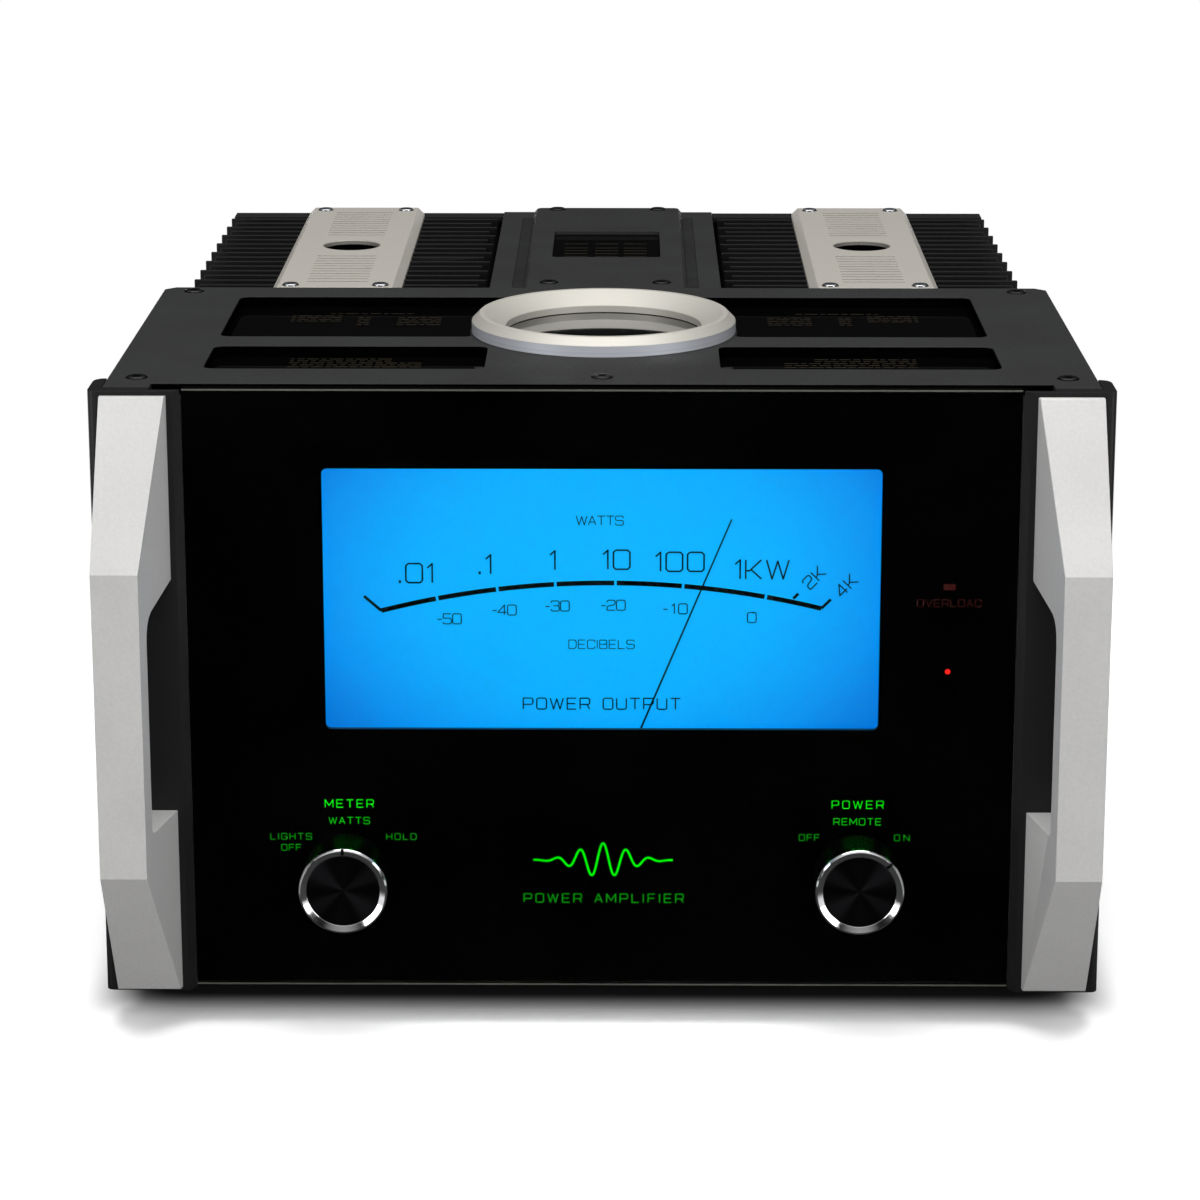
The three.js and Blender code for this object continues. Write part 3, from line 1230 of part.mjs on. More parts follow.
function buildJacks() {
  const front = BODY_DEPTH + SEAT;
  const back = front + JACK_FLANGE_THICKNESS;
  const balanced = cut(
    join(
      box(
        -BALANCED_FLANGE_WIDTH / 2, front, -BALANCED_FLANGE_HEIGHT / 2,
        BALANCED_FLANGE_WIDTH / 2, back, BALANCED_FLANGE_HEIGHT / 2,
      ),
      rod(BALANCED_RADIUS, back - BALANCED_DEPTH, back),
    ),
    rod(BALANCED_SOCKET_RADIUS, back - BALANCED_SOCKET_DEPTH, back + OVERRUN),
  );
  piece('balanced_input', balanced, contactPlastic, [BALANCED_OFFSET, 0, jackHeight]);
  const phono = join(
    rod(PHONO_FLANGE_RADIUS, front, back),
    rod(PHONO_RADIUS, back - SEAT, back + PHONO_REACH),
    rod(PHONO_BODY_RADIUS, back - PHONO_BODY_DEPTH, back),
  );
  piece('unbalanced_input', phono, gold, [PHONO_OFFSET, 0, jackHeight]);
  const trigger = cut(
    join(
      rod(TRIGGER_NUT_RADIUS, front, back),
      rod(TRIGGER_BODY_RADIUS, back - TRIGGER_BODY_DEPTH, back),
    ),
    rod(TRIGGER_BORE_RADIUS, back - TRIGGER_BODY_DEPTH / 2, back + OVERRUN),
  );
  piece('remote_jack', trigger, steel, [TRIGGER_OFFSET, 0, jackHeight]);
}

function buildTerminals() {
  const front = BODY_DEPTH + SEAT;
  const face = front + TERMINAL_BLOCK_THICKNESS;
  const half = TERMINAL_COUNT * TERMINAL_SPACING / 2;
  const tall = TERMINAL_BLOCK_HEIGHT / 2;
  const block = box(-half, front, -tall, half, face, tall);
  const stems = Array.from({ length: TERMINAL_COUNT }, (unused, index) =>
    rod(TERMINAL_STEM_RADIUS, face - SEAT, face + TERMINAL_STEM_REACH)
      .translate(terminalPlace(index), 0, 0));
  piece('terminal_block', join(block, ...stems), contactPlastic, [0, 0, terminalHeight]);
  const capFront = face + TERMINAL_CAP_AIR;
  const bore = TERMINAL_STEM_RADIUS + TERMINAL_BORE_CLEARANCE;
  const profile = [
    [bore, capFront],
    [TERMINAL_CAP_RADIUS, capFront],
    [TERMINAL_CAP_RADIUS, capFront + TERMINAL_CAP_LENGTH],
    [bore, capFront + TERMINAL_CAP_LENGTH],
    [bore, capFront],
  ];
  for (let index = 0; index < TERMINAL_COUNT; index += 1) {
    const place = [terminalPlace(index), 0, terminalHeight];
    piece(`terminal_cap_${index + 1}`, turnedAlongDepth(profile), gold, place);
  }
}

buildTray();
buildFeet();
buildEndCaps();
buildSidePanels();
buildBulkhead();
buildFrontGlass();
buildFrontPlates();
buildHandles();
buildMeterHousing();
buildMeterFace();
buildMeterMovement();
buildMeterPointer();
buildControl('meter', SIDES.left, METER_KNOB_ANGLE);
buildControl('power', SIDES.right, POWER_KNOB_ANGLE);
buildIndicatorBoard();
buildTopCover();
buildTopPanes();
buildBezel();
buildDeck();
buildSpine();
buildHeatSinks();
buildHeatSinkCaps();
buildElectronics();
buildRearPanel();
buildInlet();
buildJacks();
buildTerminals();

amplifier.position.set(0, (FRONT_REACH - SEAT - REAR_REACH) / 2, 0);
amplifier.updateMatrixWorld(true);

export default amplifier;
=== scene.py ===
"""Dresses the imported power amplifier: its finishes, lettering, trim, screws, and the studio it stands in."""

import json
import logging
import math
from collections.abc import Callable
from dataclasses import dataclass, field
from enum import Enum
from typing import Self

import bmesh
import bpy
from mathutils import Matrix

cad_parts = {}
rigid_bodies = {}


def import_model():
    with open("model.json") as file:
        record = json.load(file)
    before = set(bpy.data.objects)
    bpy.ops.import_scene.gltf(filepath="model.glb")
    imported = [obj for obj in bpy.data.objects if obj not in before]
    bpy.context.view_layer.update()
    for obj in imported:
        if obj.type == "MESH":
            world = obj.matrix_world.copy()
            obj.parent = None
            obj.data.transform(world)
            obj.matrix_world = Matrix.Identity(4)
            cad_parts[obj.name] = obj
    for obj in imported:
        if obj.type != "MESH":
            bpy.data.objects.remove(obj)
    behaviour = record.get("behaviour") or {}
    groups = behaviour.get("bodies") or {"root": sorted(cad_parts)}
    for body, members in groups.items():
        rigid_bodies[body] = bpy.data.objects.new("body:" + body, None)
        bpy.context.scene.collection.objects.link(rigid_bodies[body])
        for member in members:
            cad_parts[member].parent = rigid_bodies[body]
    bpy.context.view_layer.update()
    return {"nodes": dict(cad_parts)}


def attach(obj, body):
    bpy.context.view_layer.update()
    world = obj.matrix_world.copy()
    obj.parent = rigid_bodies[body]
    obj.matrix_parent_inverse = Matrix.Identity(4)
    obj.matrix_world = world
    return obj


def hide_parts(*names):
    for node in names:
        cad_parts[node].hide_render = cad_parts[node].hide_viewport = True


for leftover in list(bpy.data.objects):
    bpy.data.objects.remove(leftover)
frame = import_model()

Point = tuple[float, float, float]
Place = tuple[float, float]
Places = tuple[Place, ...]
Colour = tuple[float, float, float, float]
Shape = Callable[[float, float], float]
Tree = bpy.types.NodeTree
Node = bpy.types.Node
Socket = bpy.types.NodeSocket

LOG = logging.getLogger("amplifier")
SIDES = {"left": -1, "right": 1}
ORIGIN: Point = (0.0, 0.0, 0.0)
WHITE: Colour = (1.0, 1.0, 1.0, 1.0)
BLACK: Colour = (0.0, 0.0, 0.0, 1.0)

# One millimetre in Blender's metres. All sizes below are in millimetres unless they say otherwise.
MM = 0.001
# The roof's upper face, the panes under it, the middle of the bezel, and the knobs' places.
ROOF = 293.5
PANE_TOP = 288.6
BEZEL_MIDDLE: Point = (0.0, -95.95, 0.0)
KNOB_X = 113.65
KNOB_Z = 72.6
# How far a printed rule stands up from its pane, and its width.
INK_RISE = 0.06
RULE_PEN = 0.6
# CAD edges sharper than this, in degrees, are rounded in this many steps, after points this close in metres are one.
EDGE_ANGLE = 30
EDGE_STEPS = 2
WELD = 0.00001
# Points of a drawn piece that are this close, in metres, are one.
JOIN = 1e-6
# The sum of fine and broad noise that a finish's two shades span, their detail, and the size of the broad clouds.
SHADE_SPAN: Place = (0.7, 1.3)
FINE_DETAIL = 3.0
CLOUD_DETAIL = 1.0
CLOUD_MM = 40
# An anisotropic highlight turned a quarter round, so that it runs across the tool rings.
QUARTER_TURN = 0.25
# The inputs of a Map Range node, in the order in which ranges are given below.
RANGE = ("Value", "From Min", "From Max", "To Min", "To Max")


def linear(shade: str) -> Colour:
    """Turns an sRGB hex colour into the linear values that Blender wants.

    Args:
        shade: The colour as "#rrggbb".

    Returns:
        Linear red, green and blue, and an alpha of 1.
    """
    parts = [int(shade[i:i + 2], 16) / 255 for i in (1, 3, 5)]
    red, green, blue = (p / 12.92 if p <= 0.04045 else ((p + 0.055) / 1.055) ** 2.4 for p in parts)
    return red, green, blue, 1.0


def empty_tree(owner: bpy.types.Material | bpy.types.World) -> Tree:
    """Empties a node tree.

    Args:
        owner: The material or world that has it.

    Returns:
        The tree.
    """
    owner.use_nodes = True
    owner.node_tree.nodes.clear()
    return owner.node_tree


def feed(tree: Tree, node: Node, inputs: dict) -> None:
    """Fills inputs of a node.

    Args:
        tree: The node tree that holds it.
        node: The node.
        inputs: By socket name or number, a plain value, the output socket to link, or a node for its first output.
    """
    for name, value in inputs.items():
        value = value.outputs[0] if isinstance(value, Node) else value
        if isinstance(value, Socket):
            tree.links.new(value, node.inputs[name])
        else:
            node.inputs[name].default_value = value


def add_node(tree: Tree, kind: str, inputs: dict | None = None, **settings: object) -> Node:
    """Adds a node with its settings and its links.

    Args:
        tree: The node tree that gets it.
        kind: Blender's name of the shader node type, without its prefix.
        inputs: What its inputs are filled with.
        settings: The node's own properties.

    Returns:
        The new node.
    """
    made = tree.nodes.new(f"ShaderNode{kind}")
    for name, value in settings.items():
        setattr(made, name, value)
    feed(tree, made, inputs or {})
    return made


def distance(tree: Tree, place: Socket, centre: Point, scale: Point) -> Socket:
    """Works out how far a place is from a centre.

    Args:
        tree: The node tree that works it out.
        place: The place, in metres.
        centre: The centre.
        scale: What the distances along X, Y and Z are multiplied by first.

    Returns:
        The distance.
    """
    middle = tuple(value * MM for value in centre)
    away = add_node(tree, "VectorMath", {0: place, 1: middle}, operation="SUBTRACT")
    scaled = add_node(tree, "VectorMath", {0: away, 1: scale}, operation="MULTIPLY")
    return add_node(tree, "VectorMath", {0: scaled}, operation="LENGTH").outputs["Value"]


def put(name: str, data: bpy.types.ID, place: Point = ORIGIN, tilt: Point = ORIGIN) -> bpy.types.Object:
    """Stands a new object in the scene.

    Args:
        name: Its name.
        data: Its mesh, lamp or camera.
        place: Where it stands.
        tilt: How it is turned, in degrees.

    Returns:
        The object.
    """
    made = bpy.data.objects.new(name, data)
    made.location = [value * MM for value in place]
    made.rotation_euler = [math.radians(value) for value in tilt]
    bpy.context.scene.collection.objects.link(made)
    return made


class Grain(Enum):
    """The way in which a surface was worked, as a stretch of its grain along X, Y and Z."""

    EVEN = (1.0, 1.0, 1.0)
    ALONG_Z = (1.0, 1.0, 0.04)


@dataclass(frozen=True)
class Finish:
    """A surface finish: a base colour with a fine grain that moves its shade, gloss and relief a little."""

    name: str
    slot: str
    shade: str
    deep_shade: str
    roughness: float = 0.5
    roughness_spread: float = 0.06
    metallic: float = 0.0
    specular: float = 0.5
    coat: float = 0.0
    grain_mm: float = 1.6
    relief_mm: float = 0.02
    relief_share: float = 0.25
    grain: Grain = Grain.EVEN

    def material(self) -> bpy.types.Material:
        """Makes the finish's material the first time, and shares it after that.

        Returns:
            The material.
        """
        made = bpy.data.materials.get(self.name)
        if made is None:
            made = bpy.data.materials.new(self.name)
            tree = empty_tree(made)
            shader = add_node(tree, "BsdfPrincipled", self.sockets())
            add_node(tree, "OutputMaterial", {"Surface": shader})
            self.pattern(tree, shader)
        return made

    def sockets(self) -> dict[str, object]:
        """Gathers what is the same all over the surface.

        Returns:
            Values by the name of the shader's socket.
        """
        values: dict[str, object] = {"Metallic": self.metallic}
        if self.metallic < 1:
            values["Specular IOR Level"] = self.specular
        if self.coat:
            values["Coat Weight"] = self.coat
        return values

    def pattern(self, tree: Tree, shader: Node) -> None:
        """Links the grain to the shader.

        Args:
            tree: The material's node tree.
            shader: Its Principled shader.
        """
        place = add_node(tree, "TexCoord").outputs["Object"]
        worked = add_node(tree, "Mapping", {"Vector": place, "Scale": self.grain.value})
        self.texture(tree, shader, worked.outputs["Vector"])

    def texture(self, tree: Tree, shader: Node, place: Socket) -> None:
        """Draws the grain at a place socket and lets it move shade, gloss and relief.

        Args:
            tree: The material's node tree.
            shader: Its Principled shader.
            place: The coordinates that the grain is drawn in, in metres.
        """
        fine, broad = (
            add_node(tree, "TexNoise", {"Vector": place, "Scale": 1 / (size * MM), "Detail": detail})
            for size, detail in ((self.grain_mm, FINE_DETAIL), (CLOUD_MM, CLOUD_DETAIL)))
        both = add_node(tree, "Math", {0: fine, 1: broad}, operation="ADD")
        share = add_node(tree, "MapRange", dict(zip(RANGE, (both, *SHADE_SPAN))))
        shades = {0: share, 6: linear(self.deep_shade), 7: linear(self.shade)}
        mixed = add_node(tree, "Mix", shades, data_type="RGBA")
        limits = (self.roughness + self.roughness_spread, self.roughness - self.roughness_spread)
        gloss = add_node(tree, "MapRange", dict(zip(RANGE, (share, 0.0, 1.0, *limits))))
        height = {"Height": fine, "Strength": self.relief_share, "Distance": self.relief_mm * MM}
        relief = add_node(tree, "Bump", height)
        feed(tree, shader, {"Base Color": mixed.outputs[2], "Roughness": gloss, "Normal": relief})


@dataclass(frozen=True)
class TurnedFinish(Finish):
    """A finish cut on a lathe: its grain is rings round a centre, as the tool left them."""

    centre: Point = ORIGIN
    plane: Point = (1.0, 1.0, 0.0)
    stretch: float = 0.0

    def sockets(self) -> dict[str, object]:
        """Returns the plain values, with the stretched highlight that tool rings give."""
        return {**super().sockets(), "Anisotropic": self.stretch, "Anisotropic Rotation": QUARTER_TURN}

    def pattern(self, tree: Tree, shader: Node) -> None:
        """Links rings of grain, and the direction in which they stretch a highlight.

        Args:
            tree: The material's node tree.
            shader: Its Principled shader.
        """
        place = add_node(tree, "TexCoord").outputs["Object"]
        ring = add_node(tree, "CombineXYZ", {"X": distance(tree, place, self.centre, self.plane)})
        self.texture(tree, shader, ring.outputs[0])
        if self.stretch:
            axis = "Z" if self.plane[1] else "Y"
            tangent = add_node(tree, "Tangent", direction_type="RADIAL", axis=axis)
            feed(tree, shader, {"Tangent": tangent})


@dataclass(frozen=True)
class GlassFinish(Finish):
    """Polished float glass, clear right through, with a trace of dust in its gloss."""

    ior: float = 1.5
    coating: str = "#0c0c0c"

    def sockets(self) -> dict[str, object]:
        """Returns the plain values with the light let through and the mirror image held down by a coating."""
        clear = {"Transmission Weight": 1.0, "IOR": self.ior, "Specular Tint": linear(self.coating)}
        return {**super().sockets(), **clear}


@dataclass(frozen=True)
class GlowFinish(Finish):
    """Ink or a lamp that light comes through: it glows in its shade, and is darker by a share in plain light."""

    glow: float = 1.0
    darkening: float = 0.9

    def texture(self, tree: Tree, shader: Node, place: Socket) -> None:
        """Draws the grain and also lets it move the glow's shade.

        Args:
            tree: The material's node tree.
            shader: Its Principled shader.
            place: The coordinates that the grain is drawn in, in metres.
        """
        super().texture(tree, shader, place)
        shade = shader.inputs["Base Color"].links[0].from_socket
        dark = add_node(tree, "Mix", {0: self.darkening, 6: shade, 7: BLACK}, data_type="RGBA").outputs[2]
        feed(tree, shader, {"Emission Color": shade, "Emission Strength": self.glow, "Base Color": dark})


@dataclass(frozen=True)
class DialFinish(Finish):
    """The translucent dial sheet, lit from behind: bright in the middle and fading to its sides and low corners."""

    centre: Point = (0.0, 0.0, 206.0)
    half: Place = (157.0, 112.0)
    fade: Place = (0.5, 0.8)
    side_shade: str = "#008ae8"
    corner_shade: str = "#0066c4"
    unlit_shade: str = "#001828"
    glow: float = 1.08

    def texture(self, tree: Tree, shader: Node, place: Socket) -> None:
        """Draws the fall of the light over the sheet.

        Args:
            tree: The material's node tree.
            shader: Its Principled shader.
            place: The coordinates on the sheet, in metres.
        """
        super().texture(tree, shader, place)
        spread = (1 / (self.half[0] * MM), 0.0, 1 / (self.half[1] * MM))
        ramp = add_node(tree, "ValToRGB", {"Fac": distance(tree, place, self.centre, spread)})
        ramp.color_ramp.interpolation = "B_SPLINE"
        shades = (self.shade, self.shade, self.side_shade, self.corner_shade)
        for index, (share, shade) in enumerate(zip((0.0, *self.fade, 1.0), shades)):
            stop = ramp.color_ramp.elements[index] if index < 2 else ramp.color_ramp.elements.new(share)
            stop.position, stop.color = share, linear(shade)
        for link in list(shader.inputs["Base Color"].links):
            tree.links.remove(link)
        unlit = linear(self.unlit_shade)
        feed(tree, shader, {"Emission Color": ramp, "Emission Strength": self.glow, "Base Color": unlit})


# Sheet steel with a baked semi-gloss black enamel: a soft sheen with a faint orange peel of about 2 mm.
BLACK_ENAMEL = Finish("black_enamelled_steel", "black_paint", "#161617", "#111112", 0.42, grain_mm=2.0, specular=0.4)
# Extruded aluminium, etched and anodised black: dead even and satin, with die lines up and down.
BLACK_ANODISED = Finish(
    "black_anodised_extrusion", "black_anodised", "#151516", "#0f0f10", 0.42, metallic=0.25, specular=0.3,
    grain=Grain.ALONG_Z)
# The end caps are milled and anodised black: a satin that shows their long front bevel as a grey line.
END_CAP_ANODISED = Finish(
    "black_anodised_end_cap", "black_anodised", "#1d1d1e", "#171718", 0.4, metallic=0.1, specular=0.2)
# Aluminium plate with a fine charcoal powder coat: even and satin, a grain of 1 mm drawn at 1.5 mm to show.
CHARCOAL_COAT = Finish(
    "charcoal_powder_coat", "cover_paint", "#2d2e2e", "#272727", 0.6, grain_mm=1.5, relief_mm=0.03, specular=0.13)
# Cast aluminium, bead blasted and clear anodised: pale, matt and finely grained, the blast drawn at 1.3 mm.
BLASTED_SILVER = Finish(
    "bead_blasted_aluminium", "silver_powder", "#cccbca", "#c3c2c1", 0.65, 0.04, metallic=0.15, grain_mm=1.3,
    relief_mm=0.03)
# Aluminium plate, finely blasted and anodised to a warm nickel tone: satin, a little yellower than the handles.
NICKEL_ANODISED = Finish(
    "nickel_anodised_plate", "warm_silver", "#bfbbb3", "#b6b2aa", 0.55, 0.05, metallic=0.4, grain_mm=1.3)
# The same plate where a cutter left it rougher, in grooves and in the round hole: duller, and darker by painted shade
# for the shadow in these recesses.
MILLED_NICKEL_AND_SHADE = Finish(
    "milled_nickel_with_painted_shade", "warm_silver", "#85817a", "#75726b", 0.7, metallic=0.2, grain_mm=1.3)
# Aluminium turned on a lathe and anodised warm: rings of tool marks drawn 1.2 mm apart, coarser than real to show.
TURNED_SILVER = TurnedFinish(
    "turned_warm_aluminium", "brushed_silver", "#bcb9b1", "#b1aea6", 0.5, 0.05, metallic=0.3, grain_mm=1.2,
    centre=BEZEL_MIDDLE, stretch=0.2)
# The same ring's outer wall, cut to a finer finish, with a brighter and bluer colour painted on for the cool light
# from in front.
TURNED_WALL_PAINTED_LIGHT = TurnedFinish(
    "turned_aluminium_painted_cool_light", "brushed_silver", "#cccfd7", "#b2b5bd", 0.42, 0.06, metallic=0.3, grain_mm=1.1,
    centre=BEZEL_MIDDLE, plane=(0.0, 0.0, 1.0))
# Brass with bright chrome: a mirror edge round each knob.
CHROME = Finish("bright_chrome_plate", "chrome_trim", "#e4e4e6", "#d8d8da", 0.09, 0.02, metallic=1.0, relief_mm=0.002)
# Float glass with a coated face: the photograph shows hardly any of the room in it, so its mirror part is low.
CLEAR_GLASS = GlassFinish(
    "coated_float_glass", "clear_glass", "#ffffff", "#fbfdfc", 0.015, 0.01, specular=0.10, relief_mm=0.001)
# The ground edge of that glass: matt and grey where the wheel broke the corner.
GROUND_EDGE = Finish("ground_glass_edge", "clear_glass", "#5d5e58", "#50514c", 0.5, specular=0.3)
# The same glass painted black behind: a deep black with a weak mirror image.
BACKED_GLASS = Finish(
    "black_backed_glass", "clear_glass", "#050505", "#030303", 0.06, 0.02, specular=0.12, relief_mm=0.001)
# A black-backed disc without that coating: its clear mirror image turns light grey under a bright ceiling.
DISC_GLASS = Finish(
    "black_backed_disc_glass", "clear_glass", "#050505", "#030303", 0.06, 0.02, specular=0.12, relief_mm=0.001,
    coat=1.0)
# Opaque ink screened on the back of the glass: it is wetted by the glass, so it has no gloss of its own.
# The same black is also painted shade: in the roof plate's front gap and window walls, round screw heads and in the
# caps' holes.
BLACK_INK_AND_SHADE = Finish("black_screen_ink_and_painted_shade", "black_print", "#030303", "#010101", 0.6, specular=0.0)
# Thin ink on the dial sheet that the light behind still turns a deep blue.
DIAL_INK = Finish("navy_dial_ink", "black_print", "#02060c", "#010306", 0.6, specular=0.1)
# Matt acrylic sheet in sky blue, lit by lamps behind: even, with darker sides.
DIAL_SHEET = DialFinish("backlit_dial_sheet", "dial_blue", "#00acf8", "#00a8f4", 0.5, specular=0.1)
# Clear acrylic bar with a milled matt edge, which spreads the lamp light.
ACRYLIC = Finish("clear_acrylic_bar", "light_guide", "#dfeef2", "#cfe2e8", 0.25)
# Thin aluminium hand with matt black paint: it gives no highlight.
NEEDLE_PAINT = Finish("matt_needle_paint", "needle_black", "#04070c", "#020408", 0.7, specular=0.1)
# Green letters that lamps behind the print light up: headings bright, the rest dimmer.
BRIGHT_GREEN = GlowFinish("bright_green_lettering", "black_print", "#00ea04", "#00d800", specular=0.1)
MIDDLE_GREEN = GlowFinish("middle_green_lettering", "black_print", "#00b404", "#00a402", specular=0.1)
DIM_GREEN = GlowFinish("dim_green_lettering", "black_print", "#008c02", "#007c00", specular=0.1)
# Small red lamps behind the print, one alight and one resting, and a resting red word: the resting lamp and word glow
# dimly, a painted light.
RED_LAMP = GlowFinish("red_lamp_lens", "black_print", "#ff2a1c", "#ff1408", 0.3, specular=0.2, glow=1.2)
UNLIT_LAMP_PAINTED_GLOW = GlowFinish("unlit_lamp_lens_painted_glow", "black_print", "#3a0504", "#2c0403", 0.3, specular=0.2)
UNLIT_RED_PAINTED_GLOW = GlowFinish("unlit_red_lettering_painted_glow", "black_print", "#2c0a0a", "#240606", specular=0.1)
# Screen ink on the black panes, a faint old gold in thin rules.
GOLD_INK = Finish("faint_gold_ink", "black_print", "#352d1f", "#262016", 0.6, specular=0.2, grain_mm=3.0)
# Turned steel with black oxide: screws with a soft dark sheen.
OXIDE_STEEL = Finish("black_oxide_screws", "steel_parts", "#303032", "#232325", 0.34, metallic=0.9)
# Plain steel shafts and springs: grey with fine turning marks.
BARE_STEEL = Finish("machined_steel", "steel_parts", "#b9bbbe", "#a5a7aa", 0.3, metallic=1.0)
# Zinc-plated steel screws, bright and slightly blue.
ZINC_STEEL = Finish("bright_zinc_screws", "steel_parts", "#b4b5b8", "#a0a2a6", 0.28, metallic=1.0, relief_mm=0.002)
# Moulded black rubber: matt and slightly grey, with a fine texture drawn at 1.6 mm.
RUBBER = Finish("moulded_black_rubber", "foot_rubber", "#1a1a1a", "#141414", 0.75, specular=0.3)
# Glass-fibre board with green solder mask: glossy, with a weave that shows as a faint mottle.
BOARD = Finish("green_solder_mask", "circuit_board", "#1d5a34", "#16482a", 0.3, grain_mm=2.4)
# Shrunk vinyl sleeve round a capacitor can: dark blue-black and glossy.
SLEEVE = Finish("shrunk_vinyl_sleeve", "can_sleeve", "#1f2730", "#182028", 0.3, grain_mm=4.0)
# Glass-filled nylon mouldings of the sockets: black and slightly mottled.
NYLON = Finish("moulded_black_nylon", "contact_plastic", "#19191a", "#131314", 0.45, grain_mm=1.4)
# Gold-flashed brass contacts: warm and bright with soft edges.
GOLD = Finish("gold_flashed_brass", "gold_plate", "#e6bf6a", "#d4aa54", 0.2, metallic=1.0, relief_mm=0.004)
# The knob's side is anodised gloss black and finely knurled, so it scatters the green letters above it.
KNOB_SIDE = Finish(
    "knurled_gloss_black", "knob_black", "#464648", "#2c2c2e", 0.14, 0.04, metallic=1.0, grain_mm=1.0,
    relief_mm=0.4, relief_share=0.9)
# The knobs' faces are spun and anodised black: fans of light come from their tool rings, each round its own middle.
SPUN_FACES = {
    side: TurnedFinish(
        f"spun_black_aluminium_{name}", "knob_black", "#202022", "#19191b", 0.42, 0.02, metallic=1.0, grain_mm=0.9,
        relief_mm=0.01, centre=(side * KNOB_X, 0.0, KNOB_Z), plane=(1.0, 0.0, 1.0), stretch=0.96)
    for name, side in SIDES.items()}


class Axis(Enum):
    """The direction in which a turned form's axis runs."""

    DEPTH = "Y"
    HEIGHT = "Z"

    def point(self, centre: Point, radius: float, angle: float, along: float) -> Point:
        """Finds a point of a turned form.

        Args:
            centre: The point that the places along the axis count from.
            radius: How far the point is from the axis.
            angle: Its angle round the axis, in radians.
            along: Its place along the axis.

        Returns:
            The point.
        """
        across, up = radius * math.cos(angle), radius * math.sin(angle)
        if self is Axis.DEPTH:
            return centre[0] + across, centre[1] + along, centre[2] + up
        return centre[0] + across, centre[1] + up, centre[2] + along


@dataclass
class Form:
    """Points of the shared frame, and faces, gathered for one piece."""

    points: list[Point] = field(default_factory=list)
    faces: list[tuple[int, ...]] = field(default_factory=list)

    def add(self, points: list[Point], faces: list[tuple[int, ...]]) -> None:
        """Adds points and the faces between them.

        Args:
            points: The points.
            faces: For each face the numbers of its points, counted from 0.
        """
        start = len(self.points)
        self.points += points
        self.faces += [tuple(start + index for index in face) for face in faces]

    def bar(self, one: Point, other: Point) -> None:
        """Adds a straight bar.

        Args:
            one: One of its corners.
            other: The opposite corner.
        """
        x, y, z = (sorted(pair) for pair in zip(one, other))
        corners = [(x[i & 1], y[i >> 1 & 1], z[i >> 2 & 1]) for i in range(8)]
        self.add(corners, [(0, 2, 3, 1), (4, 5, 7, 6), (0, 1, 5, 4), (2, 6, 7, 3), (0, 4, 6, 2), (1, 3, 7, 5)])

    def rings(self, rings: list[list[Point]], closed: bool = False, whole: bool = True) -> None:
        """Adds a skin over rings of equally many points.

        Args:
            rings: The rings, in order.
            closed: Whether the last ring joins the first.
            whole: Whether each ring joins its own start.
        """
        steps = len(rings[0])
        faces = []
        for ring in range(len(rings) if closed else len(rings) - 1):
            near, far = ring * steps, (ring + 1) % len(rings) * steps
            for step in range(steps if whole else steps - 1):
                after = (step + 1) % steps
                faces.append((near + step, near + after, far + after, far + step))
        self.add([point for ring in rings for point in ring], faces)

    def turned(self, profile: Places, centre: Point, axis: Axis, steps: int, closed: bool = False,
               shape: Shape | None = None) -> Self:
        """Adds a form turned round an axis.

        Args:
            profile: Radius and place along the axis, in order.
            centre: The point that the places along the axis count from.
            axis: The direction of the axis.
            steps: How many flats go round.
            closed: Whether the profile's end joins its start.
            shape: What cuts into the round: it turns a radius and an angle into the radius there.

        Returns:
            The form itself.
        """
        angles = [2 * math.pi * step / steps for step in range(steps)]
        self.rings([[axis.point(centre, shape(radius, angle) if shape else radius, angle, along) for angle in angles]
                    for radius, along in profile], closed)
        return self

    def stroke(self, path: list[Place], width: float, depth: float) -> None:
        """Adds a line of ink on an upright plane, with round joints.

        Args:
            path: The line's points as x and z.
            width: The line's width.
            depth: The plane's y.
        """
        half = width / 2
        for (x0, z0), (x1, z1) in zip(path, path[1:]):
            length = math.hypot(x1 - x0, z1 - z0) or 1.0
            dx, dz = -(z1 - z0) / length * half, (x1 - x0) / length * half
            corners = [(x0 + dx, z0 + dz), (x0 - dx, z0 - dz), (x1 - dx, z1 - dz), (x1 + dx, z1 + dz)]
            self.add([(x, depth, z) for x, z in corners], [(0, 1, 2, 3)])
        corner = range(8)
        for x, z in path[1:-1]:
            dot = [Axis.DEPTH.point((x, depth, z), half, 2 * math.pi * step / len(corner), 0.0) for step in corner]
            self.add(dot, [tuple(corner)])

    def piece(self, name: str, finish: Finish, body: str = "chassis", stands_for: str = "",
              crease: float = 35.0) -> None:
        """Makes the piece, gives it its finish and lets it ride on a body.

        Args:
            name: The piece's name.
            finish: Its finish.
            body: The body that it moves with.
            stands_for: The CAD node that it stands for, if any.
            crease: Edges sharper than this many degrees stay sharp.
        """
        data = bpy.data.meshes.new(name)
        data.from_pydata([(x * MM, y * MM, z * MM) for x, y, z in self.points], [], self.faces)
        edit = bmesh.new()
        edit.from_mesh(data)
        bmesh.ops.remove_doubles(edit, verts=edit.verts, dist=JOIN)
        bmesh.ops.recalc_face_normals(edit, faces=edit.faces)
        edit.to_mesh(data)
        edit.free()
        data.shade_smooth()
        data.set_sharp_from_angle(angle=math.radians(crease))
        data.materials.append(finish.material())
        made = put(name, data)
        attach(made, body)
        if stands_for:
            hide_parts(stands_for)
        LOG.info("%s: %d faces on %s", name, len(data.polygons), body)


